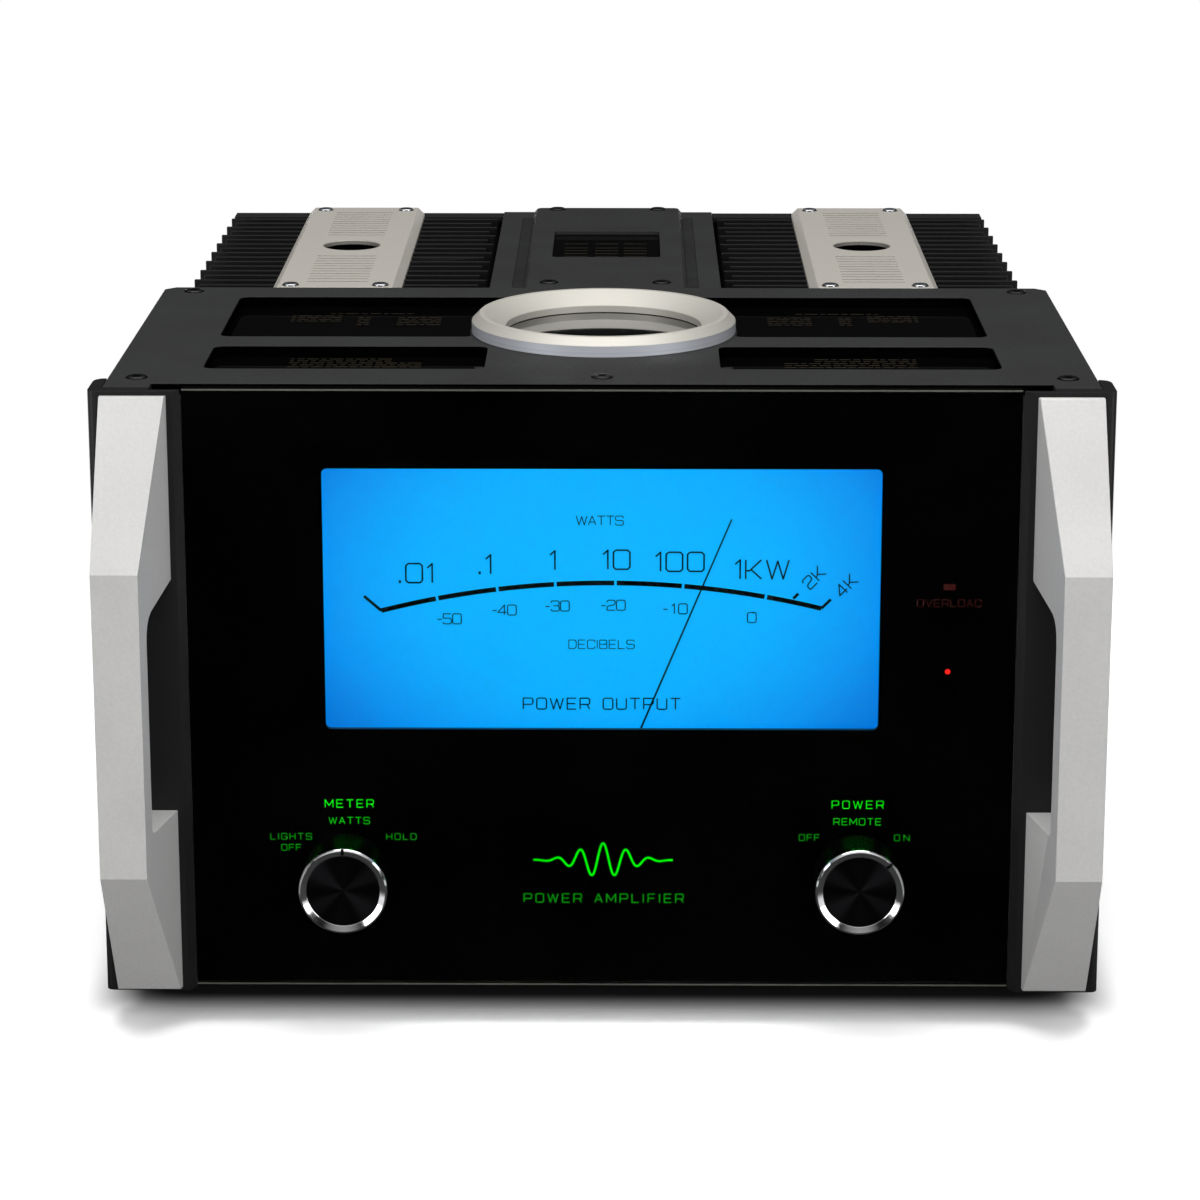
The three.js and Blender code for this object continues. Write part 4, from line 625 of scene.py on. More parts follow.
def dress(finish: Finish, *nodes: str, bevel_mm: float = 0.0) -> None:
    """Gives CAD nodes a finish, and where asked for the small rounding that catches light along their edges.

    Args:
        finish: The finish.
        nodes: The nodes' names.
        bevel_mm: The width of the rounding, or 0 for none.
    """
    for name in nodes:
        node = frame["nodes"][name]
        for place in node.material_slots:
            place.material = finish.material()
        if bevel_mm:
            weld = node.modifiers.new("weld", "WELD")
            weld.merge_threshold = WELD
            bevel = node.modifiers.new("edges", "BEVEL")
            bevel.width = bevel_mm * MM
            bevel.segments = EDGE_STEPS
            bevel.limit_method = "ANGLE"
            bevel.angle_limit = math.radians(EDGE_ANGLE)
        LOG.info("%s: %s", name, finish.name)


# Each letter on a grid 6 high: its width, then its strokes. Commas part the points x and z, semicolons the strokes.
GRID = 6
LETTERS: dict[str, tuple[float, str]] = {
    "A": (5, "0 0,2.5 6,5 0;.9 2,4.1 2"),
    "B": (5, "0 0,0 6,4.2 6,4.8 5.4,4.8 3.7,4.2 3.1,0 3.1;4.2 3.1,5 2.5,5 .6,4.4 0,0 0"),
    "C": (5, "5 4.5,5 5.3,4.3 6,.7 6,0 5.3,0 .7,.7 0,4.3 0,5 .7,5 1.5"),
    "D": (5, "0 0,0 6,3.9 6,5 4.9,5 1.1,3.9 0,0 0"),
    "E": (4.7, "4.7 6,0 6,0 0,4.7 0;0 3,4.2 3"),
    "F": (4.5, "4.5 6,0 6,0 0;0 3,4 3"),
    "G": (5, "5 4.6,5 5.3,4.3 6,.7 6,0 5.3,0 .7,.7 0,4.3 0,5 .7,5 2.8,2.8 2.8"),
    "H": (5, "0 0,0 6;5 0,5 6;0 3,5 3"),
    "I": (0.4, ".2 0,.2 6"),
    "K": (4.8, "0 0,0 6;0 2.6,1.2 2.6,4.7 6;1.6 3,4.8 0"),
    "L": (4.4, "0 6,0 0,4.4 0"),
    "M": (6, "0 0,0 6,3 1.4,6 6,6 0"),
    "N": (5.2, "0 0,0 6,5.2 0,5.2 6"),
    "O": (5, ".7 6,4.3 6,5 5.3,5 .7,4.3 0,.7 0,0 .7,0 5.3,.7 6"),
    "P": (5, "0 0,0 6,4.3 6,5 5.3,5 3.3,4.3 2.6,0 2.6"),
    "R": (5, "0 0,0 6,4.3 6,5 5.3,5 3.3,4.3 2.6,0 2.6;3.6 2.6,5 0"),
    "S": (5, "5 4.7,5 5.3,4.3 6,.7 6,0 5.3,0 3.7,.7 3.1,4.3 3.1,5 2.5,5 .7,4.3 0,.7 0,0 .7,0 1.3"),
    "T": (5, "0 6,5 6;2.5 6,2.5 0"),
    "U": (5, "0 6,0 .7,.7 0,4.3 0,5 .7,5 6"),
    "V": (5, "0 6,2.5 0,5 6"),
    "W": (6.8, "0 6,1.7 0,3.4 5.6,5.1 0,6.8 6"),
    "0": (5, ".7 6,4.3 6,5 5.3,5 .7,4.3 0,.7 0,0 .7,0 5.3,.7 6"),
    "1": (1.7, "0 4.6,1.5 6,1.5 0"),
    "2": (4.7, "0 4.7,0 5.3,.7 6,4 6,4.6 5.4,4.6 3.9,4 3.2,.9 2.6,0 1.8,0 0,4.7 0"),
    "3": (4.7, "0 4.8,0 5.4,.6 6,4 6,4.6 5.4,4.6 3.7,4 3.1,1.4 3.1;4 3.1,4.7 2.5,4.7 .6,4.1 0,.6 0,0 .6,0 1.2"),
    "4": (5, "3.8 0,3.8 6,0 1.6,5 1.6"),
    "5": (4.7, "4.5 6,.2 6,0 3.4,3.9 3.4,4.7 2.7,4.7 .7,4 0,.6 0,0 .6,0 1.1"),
    "-": (2.6, "0 2.7,2.6 2.7"),
    ".": (0.7, "0 .1,.7 .1;0 .5,.7 .5"),
    " ": (3, ""),
}


def strokes(text: str) -> list[list[Place]]:
    """Reads the strokes of one letter."""
    paths = [path.split(",") for path in text.split(";") if path]
    return [[tuple(float(value) for value in point.split()) for point in path] for path in paths]


@dataclass(frozen=True)
class Lettering:
    """One line of plain squared letters, centred on a place."""

    text: str
    x: float
    z: float
    height: float
    pen: float
    width: float = 0.0
    turn: float = 0.0
    letter_gap: float = 1.5

    def write(self, form: Form, depth: float) -> None:
        """Writes the line on an upright plane.

        Args:
            form: The form that gets the strokes.
            depth: The plane's y.
        """
        scale = self.height / GRID
        widths = [LETTERS[letter][0] * scale for letter in self.text]
        gaps = max(len(widths) - 1, 1)
        gap = (self.width - sum(widths)) / gaps if self.width else self.letter_gap * scale
        start = -(sum(widths) + gap * (len(widths) - 1)) / 2
        cosine, sine = math.cos(math.radians(self.turn)), math.sin(math.radians(self.turn))
        for letter, width in zip(self.text, widths):
            for path in strokes(LETTERS[letter][1]):
                flat = [(start + x * scale, (z - GRID / 2) * scale) for x, z in path]
                turned = [(self.x + x * cosine - z * sine, self.z + x * sine + z * cosine) for x, z in flat]
                form.stroke(turned, self.pen, depth)
            start += width + gap


def spans(height: float, pen: float, *lines: tuple[str, float, float, float]) -> tuple[Lettering, ...]:
    """Returns lines of one height and pen that each fill a width.

    Args:
        height: The letters' height.
        pen: The strokes' width.
        lines: For each line its text, its lowest and highest x, and its z.
    """
    return tuple(Lettering(text, (low + high) / 2, z, height, pen, high - low) for text, low, high, z in lines)


def marks(height: float, pen: float, *texts: tuple[str, float, float], turn: float = 0.0) -> tuple[Lettering, ...]:
    """Returns short texts of one height and pen, each centred on its own x and z, turned by an angle in degrees."""
    return tuple(Lettering(text, x, z, height, pen, turn=turn) for text, x, z in texts)


@dataclass(frozen=True)
class Inscription:
    """Lines of lettering in one ink, which make one piece."""

    name: str
    finish: Finish
    lines: tuple[Lettering, ...]

    def write(self, depth: float) -> None:
        """Writes all its lines on an upright plane.

        Args:
            depth: The plane's y.
        """
        form = Form()
        for line in self.lines:
            line.write(form, depth)
        form.piece(self.name, self.finish)


@dataclass(frozen=True)
class Screw:
    """A socket screw seen from its head, with a dark ring painted round it for the shade in its counterbore.

    The rims are shares of the radius and the rise. The shade ring says how far the painted ring reaches under the
    head, and how far it stands up.
    """

    finish: Finish = OXIDE_STEEL
    shade_finish: Finish | None = BLACK_INK_AND_SHADE
    axis: Axis = Axis.HEIGHT
    radius: float = 4.4
    socket: float = 2.0
    rise: float = 0.8
    shadow: float = 0.5
    rim: Places = ((1.0, 0.0), (1.0, 0.45), (0.94, 0.8), (0.84, 1.0))
    socket_rim: Places = ((1.25, 1.0), (1.0, 0.92))
    socket_floor: float = 0.1
    shade_ring: Place = (0.3, 0.05)
    steps: int = 36

    def shape(self, radius: float, angle: float) -> float:
        """Cuts six flats in the socket and leaves the head round outside it.

        Args:
            radius: The profile's radius.
            angle: The angle round the screw, in radians.

        Returns:
            The radius there.
        """
        if radius > self.socket:
            return radius
        return radius * math.cos(math.pi / 6) / math.cos(angle % (math.pi / 3) - math.pi / 6)

    def profiles(self) -> tuple[Places, Places]:
        """Draws the half sections that the screw is turned from.

        Returns:
            The profile of the head and that of the painted shade ring.
        """
        head = [(self.radius * share, self.rise * up) for share, up in self.rim]
        head += [(self.socket * share, self.rise * up) for share, up in self.socket_rim]
        under, high = self.shade_ring
        outer = self.radius + self.shadow
        return ((*head, (self.socket, self.socket_floor), (0.0, self.socket_floor)),
                ((outer, 0.0), (outer, high), (self.radius - under, high)))

    def row(self, name: str, places: list[Point], end: str = "") -> None:
        """Sets screws of this kind.

        Args:
            name: What the pieces' names start with.
            places: The middles of the faces that the heads stand on.
            end: What the pieces' names end with.
        """
        heads, shade_rings = Form(), Form()
        head, shade_ring = self.profiles()
        for place in places:
            heads.turned(head, place, self.axis, self.steps, shape=self.shape)
            shade_rings.turned(shade_ring, place, self.axis, self.steps)
        heads.piece(f"{name}_screws{end}", self.finish)
        # The rings round the heads are painted shade.
        if self.shade_finish:
            shade_rings.piece(f"{name}_screw_seats{end}", self.shade_finish)


@dataclass(frozen=True)
class SoftBox:
    """One lamp of the studio: its place, its tilt in degrees, its size, and its power in watts."""

    name: str
    place: Point
    tilt: Point
    size: Place
    power: float
    glossy: bool = True
    diffuse: bool = True

    def hang(self) -> None:
        """Hangs the lamp, seen by gloss and by matt surfaces as its fields say."""
        data = bpy.data.lights.new(self.name, "AREA")
        data.shape, data.energy = "RECTANGLE", self.power
        data.size, data.size_y = (value * MM for value in self.size)
        made = put(self.name, data, self.place, self.tilt)
        made.visible_glossy, made.visible_diffuse = self.glossy, self.diffuse


@dataclass
class Studio:
    """The plain white studio: camera, floor, lamps and the light around.

    The mirror fields say what gloss sees, the floor's with a painted shade on the paper near the middle; the fill
    fields say what lights matt surfaces, and the fields of the painted contact shadow how the paper is darkened under
    the amplifier. Each mirror or fill is a range of places or rises, then of brightness. From view_end on, sizes and
    places are in metres.
    """

    camera_place: Point = (11.5, -1761.25, 637.5)
    camera_tilt: Point = (75.98, 0.0, 0.43)
    lens: float = 109.53
    sensor: float = 36.0
    shift: Place = (-0.0013, -0.10)
    lamps: tuple[SoftBox, ...] = (
        SoftBox("roof_light", (0.0, -250.0, 1650.0), ORIGIN, (1500.0, 1100.0), 19.0),
        SoftBox("front_light", (0.0, -2300.0, 850.0), (72.0, 0.0, 0.0), (1500.0, 800.0), 28.5, glossy=False),
        SoftBox("left_strip", (-1450.0, -1250.0, 520.0), (78.0, 0.0, -54.0), (800.0, 1200.0), 15.0, diffuse=False),
        SoftBox("right_strip", (1450.0, -1250.0, 520.0), (78.0, 0.0, 54.0), (800.0, 1200.0), 15.0, diffuse=False),
        SoftBox("back_light", (0.0, 1900.0, 150.0), (-90.0, 0.0, 0.0), (1600.0, 240.0), 9.0))
    view_end: float = 50.0
    floor_half: float = 3.5
    floor_shade: str = "#868686"
    floor_lift: float = 1.55
    # What gloss sees of the paper: a painted shade, dark within 0.26 m of the middle across X, light beyond 0.38 m.
    floor_mirror: tuple[float, ...] = (0.26, 0.38, 0.05, 0.8)
    fade: Place = (0.30, 0.62)
    fade_shape: Point = (0.85, 0.85, 0.0)
    # A contact shadow painted on the paper: its box, its reach, its softness at the corners, and the share of lift
    # left under the amplifier.
    painted_shadow_half: Point = (0.2430, 0.2184, 1.0)
    painted_shadow_reach: float = 0.033
    painted_shadow_soft: float = 0.03
    painted_shadow_left: float = 0.02
    sky_mirror: tuple[float, ...] = (0.50, 0.85, 0.01, 0.9)
    sky_fill: tuple[float, ...] = (0.05, 0.60, 0.0, 0.45)

    def build(self) -> None:
        """Makes the whole studio."""
        self.camera()
        self.floor()
        for lamp in self.lamps:
            lamp.hang()
        self.world()

    def camera(self) -> None:
        """Sets the camera where the photograph was taken from."""
        data = bpy.data.cameras.new("camera")
        data.lens, data.sensor_width = self.lens, self.sensor
        data.shift_x, data.shift_y = self.shift
        data.clip_end = self.view_end
        bpy.context.scene.camera = put("camera", data, self.camera_place, self.camera_tilt)

    def floor(self) -> None:
        """Lays the white floor, which keeps the amplifier's shadow, deepened by a painted contact shadow under it,
        and fades to plain white further out.
        """
        half = self.floor_half
        data = bpy.data.meshes.new("floor")
        data.from_pydata([(-half, -half, 0), (half, -half, 0), (half, half, 0), (-half, half, 0)], [], [(0, 1, 2, 3)])
        material = bpy.data.materials.new("white_paper_floor")
        tree = empty_tree(material)
        ray = add_node(tree, "LightPath")
        place = add_node(tree, "TexCoord").outputs["Object"]
        paper = add_node(tree, "BsdfDiffuse", {"Color": self.paper(tree, ray, place)})
        white = add_node(tree, "Emission", {"Color": WHITE, "Strength": 1.0})
        outer = dict(zip(RANGE, (distance(tree, place, ORIGIN, self.fade_shape), *self.fade)))
        fade = add_node(tree, "MapRange", outer, interpolation_type="SMOOTHSTEP")
        far = {0: fade, 1: ray.outputs["Is Camera Ray"]}
        share = add_node(tree, "Math", far, operation="MULTIPLY")
        mixed = add_node(tree, "MixShader", {0: share, 1: paper, 2: white})
        add_node(tree, "OutputMaterial", {"Surface": mixed})
        data.materials.append(material)
        put("floor", data)

    def paper(self, tree: Tree, ray: Node, place: Socket) -> Socket:
        """Mixes the paper's colour: lifted for the camera save for a painted contact shadow, grey for matt surfaces,
        and with a painted shade near the part for gloss.

        Args:
            tree: The floor's node tree.
            ray: Its light path node.
            place: The coordinates on the floor.

        Returns:
            The colour.
        """
        apart = add_node(tree, "VectorMath", {0: place}, operation="ABSOLUTE")
        sides = add_node(tree, "SeparateXYZ", {0: apart})
        # The paper in gloss is darkened by painted shade near the middle across X.
        outer = dict(zip(RANGE, (sides.outputs["X"], *self.floor_mirror)))
        mirrored = add_node(tree, "MapRange", outer, interpolation_type="SMOOTHSTEP")
        grey = add_node(tree, "CombineColor", {channel: mirrored for channel in range(3)})
        dull = {0: ray.outputs["Is Glossy Ray"], 6: linear(self.floor_shade), 7: grey}
        plain = add_node(tree, "Mix", dull, data_type="RGBA")
        # Taking the lift away near the amplifier paints its contact shadow.
        lift = {0: (self.floor_lift,) * 3, 3: self.contact(tree, apart)}
        lifted = add_node(tree, "VectorMath", lift, operation="SCALE")
        seen = {0: ray.outputs["Is Camera Ray"], 6: plain.outputs[2], 7: lifted}
        return add_node(tree, "Mix", seen, data_type="RGBA").outputs[2]

    def contact(self, tree: Tree, apart: Node) -> Socket:
        """Paints a contact shadow on the paper by taking its lift away towards the amplifier.

        Args:
            tree: The floor's node tree.
            apart: The node that gives how far the paper's places are from the middle along X and Y.

        Returns:
            The share of the lift that is kept: all of it outside, almost none right under the amplifier.
        """
        inside = add_node(tree, "VectorMath", {0: self.painted_shadow_half, 1: apart}, operation="SUBTRACT")
        sides = add_node(tree, "SeparateXYZ", {0: inside})
        nearer = {0: sides.outputs["X"], 1: sides.outputs["Y"], 2: self.painted_shadow_soft}
        depth = add_node(tree, "Math", nearer, operation="SMOOTH_MIN")
        fall = dict(zip(RANGE, (depth, 0.0, self.painted_shadow_reach, 1.0, self.painted_shadow_left)))
        return add_node(tree, "MapRange", fall, interpolation_type="SMOOTHSTEP").outputs[0]

    def world(self) -> None:
        """Fills the room with soft light; the camera, gloss and glass see it white, darker low down in gloss."""
        world = bpy.data.worlds.new("white_studio")
        bpy.context.scene.world = world
        tree = empty_tree(world)
        ray = add_node(tree, "LightPath")
        direction = add_node(tree, "TexCoord")
        height = add_node(tree, "SeparateXYZ", {0: direction.outputs["Generated"]}).outputs["Z"]
        straight = {0: ray.outputs["Is Camera Ray"], 1: ray.outputs["Is Transmission Ray"]}
        lit = add_node(tree, "Math", straight, operation="MAXIMUM")
        for limits, kind in ((self.sky_mirror, "Is Glossy Ray"), (self.sky_fill, "Is Diffuse Ray")):
            sky = add_node(tree, "MapRange", dict(zip(RANGE, (height, *limits))))
            part = {0: ray.outputs[kind], 1: sky}
            part = add_node(tree, "Math", part, operation="MULTIPLY")
            lit = add_node(tree, "Math", {0: lit, 1: part}, operation="MAXIMUM")
        back = add_node(tree, "Background", {"Color": WHITE, "Strength": lit})
        add_node(tree, "OutputWorld", {"Surface": back})


@dataclass
class Shell:
    """The enamelled chassis, its end caps and feet."""

    painted: tuple[str, ...] = ("base_tray", "side_panel_left", "side_panel_right", "bulkhead", "rear_panel",
                                "front_subpanel", "meter_housing")
    rounding: float = 0.4

    def build(self) -> None:
        """Dresses the sheet metal, the end caps and the feet."""
        dress(BLACK_ENAMEL, *self.painted)
        dress(END_CAP_ANODISED, "end_cap_left", "end_cap_right", bevel_mm=self.rounding)
        feet = [f"foot_{end}_{side}" for end in ("front", "rear") for side in SIDES]
        dress(RUBBER, *feet, bevel_mm=self.rounding)


@dataclass
class FrontPanel:
    """The glass front with the lettering and lamps that show through its black print."""

    print_front: float = -217.05
    glass_half: float = 181.7
    bevel_y: Place = (-223.29, -222.75)
    bevels_z: Places = ((292.9, 293.54), (19.36, 19.85))
    lamp: Place = (152.5, 165.6)
    lamp_profile: Places = ((1.15, 0.0), (0.69, -0.03), (0.0, -0.05))
    lamp_steps: int = 32
    guard_x: Place = (149.9, 155.1)
    guard_z: float = 204.3
    guard_pen: float = 2.6
    labels: tuple[Inscription, ...] = (
        Inscription("bright_labels", BRIGHT_GREEN, spans(
            3.5, 0.38, ("METER", -123.2, -101.7, 103.7), ("POWER", 102.5, 125.3, 103.7))),
        Inscription("middle_labels", MIDDLE_GREEN, spans(
            3.0, 0.35, ("WATTS", -121.6, -103.6, 95.7), ("REMOTE", 103.4, 124.4, 95.7))),
        Inscription("dim_labels", DIM_GREEN, (
            *spans(2.8, 0.33, ("LIGHTS", -147.8, -129.6, 88.2), ("OFF", -143.0, -134.4, 83.0),
                   ("HOLD", -96.0, -82.8, 88.2), ("OFF", 88.1, 97.0, 88.2), ("ON", 130.5, 137.2, 88.2)),
            *spans(4.0, 0.5, ("POWER AMPLIFIER", -34.8, 36.5, 59.3)))))
    # The resting word glows dimly: painted light.
    overload: Inscription = Inscription("overload_label", UNLIT_RED_PAINTED_GLOW, spans(
        3.2, 0.4, ("OVERLOAD", 138.5, 166.5, 197.0)))
    wave_centre: Place = (0.6, 77.3)
    wave_half: float = 31.0
    wave_height: float = 8.0
    wave_turns: float = 6.0
    wave_burst: float = 0.48
    wave_steps: int = 120
    wave_pen: float = 1.0

    def build(self) -> None:
        """Dresses the glass and writes on it."""
        dress(CLEAR_GLASS, "front_glass")
        dress(BLACK_INK_AND_SHADE, "glass_print")
        for label in self.labels:
            label.write(self.print_front)
        self.wave()
        self.lights()
        self.edges()

    def wave(self) -> None:
        """Draws the sine burst that stands in the middle of the panel."""
        middle_x, middle_z = self.wave_centre
        path = []
        for step in range(-self.wave_steps, self.wave_steps + 1):
            share = step / self.wave_steps
            swing = math.exp(-(share / self.wave_burst) ** 2) * math.cos(share * math.pi * self.wave_turns)
            path.append((middle_x + share * self.wave_half, middle_z + self.wave_height * swing))
        form = Form()
        form.stroke(path, self.wave_pen, self.print_front)
        form.piece("wave_emblem", BRIGHT_GREEN)

    def lights(self) -> None:
        """Sets the power lamp and the resting overload lamp with its word behind the print, the resting ones with a
        dim painted glow.
        """
        place = (self.lamp[0], self.print_front, self.lamp[1])
        Form().turned(self.lamp_profile, place, Axis.DEPTH, self.lamp_steps).piece("power_lamp", RED_LAMP)
        form = Form()
        form.stroke([(x, self.guard_z) for x in self.guard_x], self.guard_pen, self.print_front)
        form.piece("overload_lamp", UNLIT_LAMP_PAINTED_GLOW)
        self.overload.write(self.print_front)

    def edges(self) -> None:
        """Grinds the small bevels along the top and bottom of the glass, which catch light as thin lines."""
        form = Form()
        for low, high in self.bevels_z:
            form.bar((-self.glass_half, self.bevel_y[0], low), (self.glass_half, self.bevel_y[1], high))
        form.piece("glass_bevels", GROUND_EDGE)


@dataclass
class Meter:
    """The lit dial with its scale, the hand and the works behind it."""

    ink: float = -209.5
    arc_centre: Place = (2.44, -188.73)
    arc_radius: float = 392.54
    arc_ends: Place = (-97.4, 96.8)
    arc_pen: float = 2.2
    arc_step: float = 4.0
    slits: tuple[float, ...] = (-72.7, -46.1, -20.5, 6.0, 35.8, 72.3)
    slit: float = 1.1
    ticks: tuple[tuple[Place, Place], ...] = (
        ((-97.4, 190.9), (-105.0, 197.6)), ((96.8, 192.3), (101.0, 196.5)), ((84.4, 196.8), (86.6, 199.1)))
    tick_pen: float = 1.3
    numbers: Inscription = Inscription("watt_numbers", DIAL_INK, (
        *marks(8.7, 0.75, (".01", -82.0, 208.1), (".1", -51.5, 212.2), ("1", -21.6, 214.1), ("10", 6.4, 214.4),
               ("100", 34.3, 213.5), ("1KW", 70.5, 210.1)),
        *marks(5.4, 0.6, ("2K", 93.4, 206.4), ("4K", 107.5, 202.7), turn=46)))
    decibels: Inscription = Inscription("decibel_numbers", DIAL_INK, spans(
        4.6, 0.5, ("-50", -72.7, -62.1, 187.2), ("-40", -48.4, -37.8, 191.3), ("-30", -25.0, -14.4, 193.2),
        ("-20", -0.3, 10.3, 193.6), ("-10", 27.1, 37.7, 192.0), ("0", 64.2, 68.2, 188.1)))
    words: Inscription = Inscription("dial_words", DIAL_INK, (
        *spans(4.1, 0.45, ("WATTS", -11.2, 9.4, 232.2)), *spans(3.9, 0.42, ("DECIBELS", -14.6, 14.3, 175.6)),
        *spans(5.1, 0.6, ("POWER OUTPUT", -34.9, 34.8, 148.1))))

    def build(self) -> None:
        """Dresses the works and draws the scale."""
        dress(DIAL_SHEET, "meter_dial")
        dress(ACRYLIC, "meter_light_guide")
        dress(BARE_STEEL, "meter_movement")
        dress(NEEDLE_PAINT, "meter_pointer")
        dress(BOARD, "indicator_board")
        self.scale()
        for inscription in (self.numbers, self.decibels, self.words):
            inscription.write(self.ink)

    def arc_point(self, x: float) -> Place:
        """Returns the point of the scale's arc at x."""
        return x, self.arc_centre[1] + math.sqrt(self.arc_radius ** 2 - (x - self.arc_centre[0]) ** 2)

    def scale(self) -> None:
        """Draws the arc, broken at each number, and its ticks."""
        form = Form()
        cuts = [slit + half for slit in self.slits for half in (-self.slit / 2, self.slit / 2)]
        edges = [self.arc_ends[0], *cuts, self.arc_ends[1]]
        for low, high in zip(edges[::2], edges[1::2]):
            steps = max(2, round((high - low) / self.arc_step))
            path = [self.arc_point(low + (high - low) * step / steps) for step in range(steps + 1)]
            form.stroke(path, self.arc_pen, self.ink)
        for tick in self.ticks:
            form.stroke(list(tick), self.tick_pen, self.ink)
        form.piece("scale_arc", DIAL_INK)


@dataclass
class Handles:
    """The two faceted handles."""

    rounding: float = 0.5

    def build(self) -> None:
        """Dresses both handles."""
        dress(BLASTED_SILVER, "handle_left", "handle_right", bevel_mm=self.rounding)


@dataclass
class Knobs:
    """The two knobs: a spun face in a chrome ring on a gloss black body. Profiles give radius and depth."""

    angles: tuple[tuple[str, int, float], ...] = (("meter", -1, 90.0), ("power", 1, 44.0))
    notch_half: float = 2.1
    body_profile: Places = (
        (15.9, -244.35), (18.4, -244.35), (18.8, -243.85), (18.8, -224.65), (18.2, -224.05), (5.0, -224.05))
    face_profile: Places = (
        (15.9, -244.35), (15.9, -246.7), (15.7, -246.85), (8.0, -246.73), (0.0, -246.69))
    ring_profile: Places = (
        (16.2, -244.65), (16.2, -246.81), (16.32, -246.91), (18.55, -248.2), (18.7, -248.25), (18.85, -248.2),
        (19.4, -247.7), (19.65, -247.3), (19.7, -247.15), (19.7, -244.65))
    ring_crease: float = 8.0
    steps: int = 120

    def build(self) -> None:
        """Builds both knobs on their selectors."""
        for name, side, angle in self.angles:
            dress(BARE_STEEL, f"{name}_shaft")
            dress(NYLON, f"{name}_switch")
            selector = f"{name}_selector"
            centre = (side * KNOB_X, 0.0, KNOB_Z)
            body = Form().turned(self.body_profile, centre, Axis.DEPTH, self.steps)
            body.piece(f"{name}_knob_body", KNOB_SIDE, selector, f"{name}_knob")
            face = Form().turned(self.face_profile, centre, Axis.DEPTH, self.steps)
            face.piece(f"{name}_knob_face", SPUN_FACES[side], selector)
            ring = self.ring(centre, angle)
            ring.piece(f"{name}_knob_trim", CHROME, selector, f"{name}_knob_ring", self.ring_crease)

    def ring(self, centre: Point, angle: float) -> Form:
        """Bends the chrome ring, which is open at its index notch.

        Args:
            centre: The middle of the knob.
            angle: Where the notch is, in degrees.

        Returns:
            The ring's form.
        """
        low, high = math.radians(angle + self.notch_half), math.radians(angle + 360 - self.notch_half)
        turns = [low + (high - low) * step / self.steps for step in range(self.steps + 1)]
        rings = [[Axis.DEPTH.point(centre, radius, turn, along) for radius, along in self.ring_profile]
                 for turn in turns]
        form = Form()
        form.rings(rings)
        for end in (rings[0], rings[-1]):
            form.add(end, [tuple(range(len(end)))])
        return form


@dataclass(frozen=True)
class Window:
    """A window of the roof on the right side, and whether its rear corner near the bezel is round."""

    near: float
    far: float
    front: float
    rear: float
    rounded: bool = False


@dataclass
class TopCover:
    """The charcoal roof plate with its screws and the panes under its windows."""

    rounding: float = 0.45
    corner: float = 5.0
    corner_step: int = 15
    # Painted shade on the front edge and the window walls: its inset from the edges, its low and high z, and the
    # front strip's corners.
    shade_inset: float = 0.25
    shade_z: Place = (289.0, 293.2)
    front_shade: tuple[Place, Place] = ((-196.0, -211.75), (196.0, -211.4))
    windows: tuple[Window, ...] = (
        Window(30.3, 177.3, -110.85, -16.25), Window(52.4, 177.3, -180.65, -132.05, rounded=True))
    screws: Places = ((0.0, -197.15), (-204.0, -199.25), (204.0, -199.25), (-201.5, -2.75), (201.5, -2.75))
    screw: Screw = Screw()
    rule_pitch: float = 4.2
    dashes: tuple[float, ...] = (5.2, 3.1, 6.4, 2.2)
    dash_gap: float = 1.3
    blocks: tuple[tuple[float, float, float, int], ...] = (
        (82.0, 142.0, -155.0, 3), (96.0, 142.0, -142.4, 2), (78.0, 100.0, -60.0, 5), (112.0, 118.0, -60.0, 5),
        (126.0, 150.0, -52.0, 4), (92.0, 132.0, -34.0, 1))

    def build(self) -> None:
        """Dresses the plate and panes, paints shade along its edges, sets the screws and draws the rules."""
        dress(CHARCOAL_COAT, "top_cover", bevel_mm=self.rounding)
        dress(BACKED_GLASS, "window_pane_left", "window_pane_right")
        self.paint_edge_shade()
        self.screw.row("cover", [(x, y, ROOF) for x, y in self.screws])
        for name, side in SIDES.items():
            self.rules(name, side)

    def paint_edge_shade(self) -> None:
        """Paints black shade on the plate's front edge and round the straight edges of its windows."""
        form = Form()
        (one, other), (low, high) = self.front_shade, self.shade_z
        form.bar((*one, low), (*other, high))
        for side in SIDES.values():
            for window in self.windows:
                start = [(window.near, window.rear - self.shade_inset)]
                path = self.arc(window.near, window.rear, 180) if window.rounded else start
                path += self.arc(window.far, window.rear, 90) + self.arc(window.far, window.front, 0)
                form.rings([[(side * x, y, z) for x, y in path] for z in self.shade_z], whole=False)
        form.piece("cover_edge_painted_shade", BLACK_INK_AND_SHADE)

    def arc(self, x: float, y: float, start: int) -> list[Place]:
        """Leads the painted shade round a window's corner.

        Args:
            x: The corner's x.
            y: The corner's y.
            start: The angle in degrees that the line starts from, clockwise.

        Returns:
            The painted shade's line there.
        """
        middle_x = x + self.corner if start == 180 else x - self.corner
        middle_y = y + self.corner if start == 0 else y - self.corner
        reach = self.corner - self.shade_inset
        angles = [math.radians(start - turn) for turn in range(0, 91, self.corner_step)]
        return [(middle_x + reach * math.cos(angle), middle_y + reach * math.sin(angle)) for angle in angles]

    def rules(self, name: str, side: int) -> None:
        """Draws short broken rules on the pane of one side.

        Each block of rules has a lowest and highest x, the y of its first rule, and a number of rules.

        Args:
            name: The side's name.
            side: Its sign along X.
        """
        form = Form()
        for block, (low, high, start, count) in enumerate(self.blocks):
            for row in range(count):
                y = start + row * self.rule_pitch
                x, dash = low, row + block
                while x < high:
                    end = min(x + self.dashes[dash % len(self.dashes)], high)
                    form.bar((side * x, y, PANE_TOP), (side * end, y + RULE_PEN, PANE_TOP + INK_RISE))
                    x, dash = end + self.dash_gap, dash + 1
        form.piece(f"pane_rules_{name}", GOLD_INK)


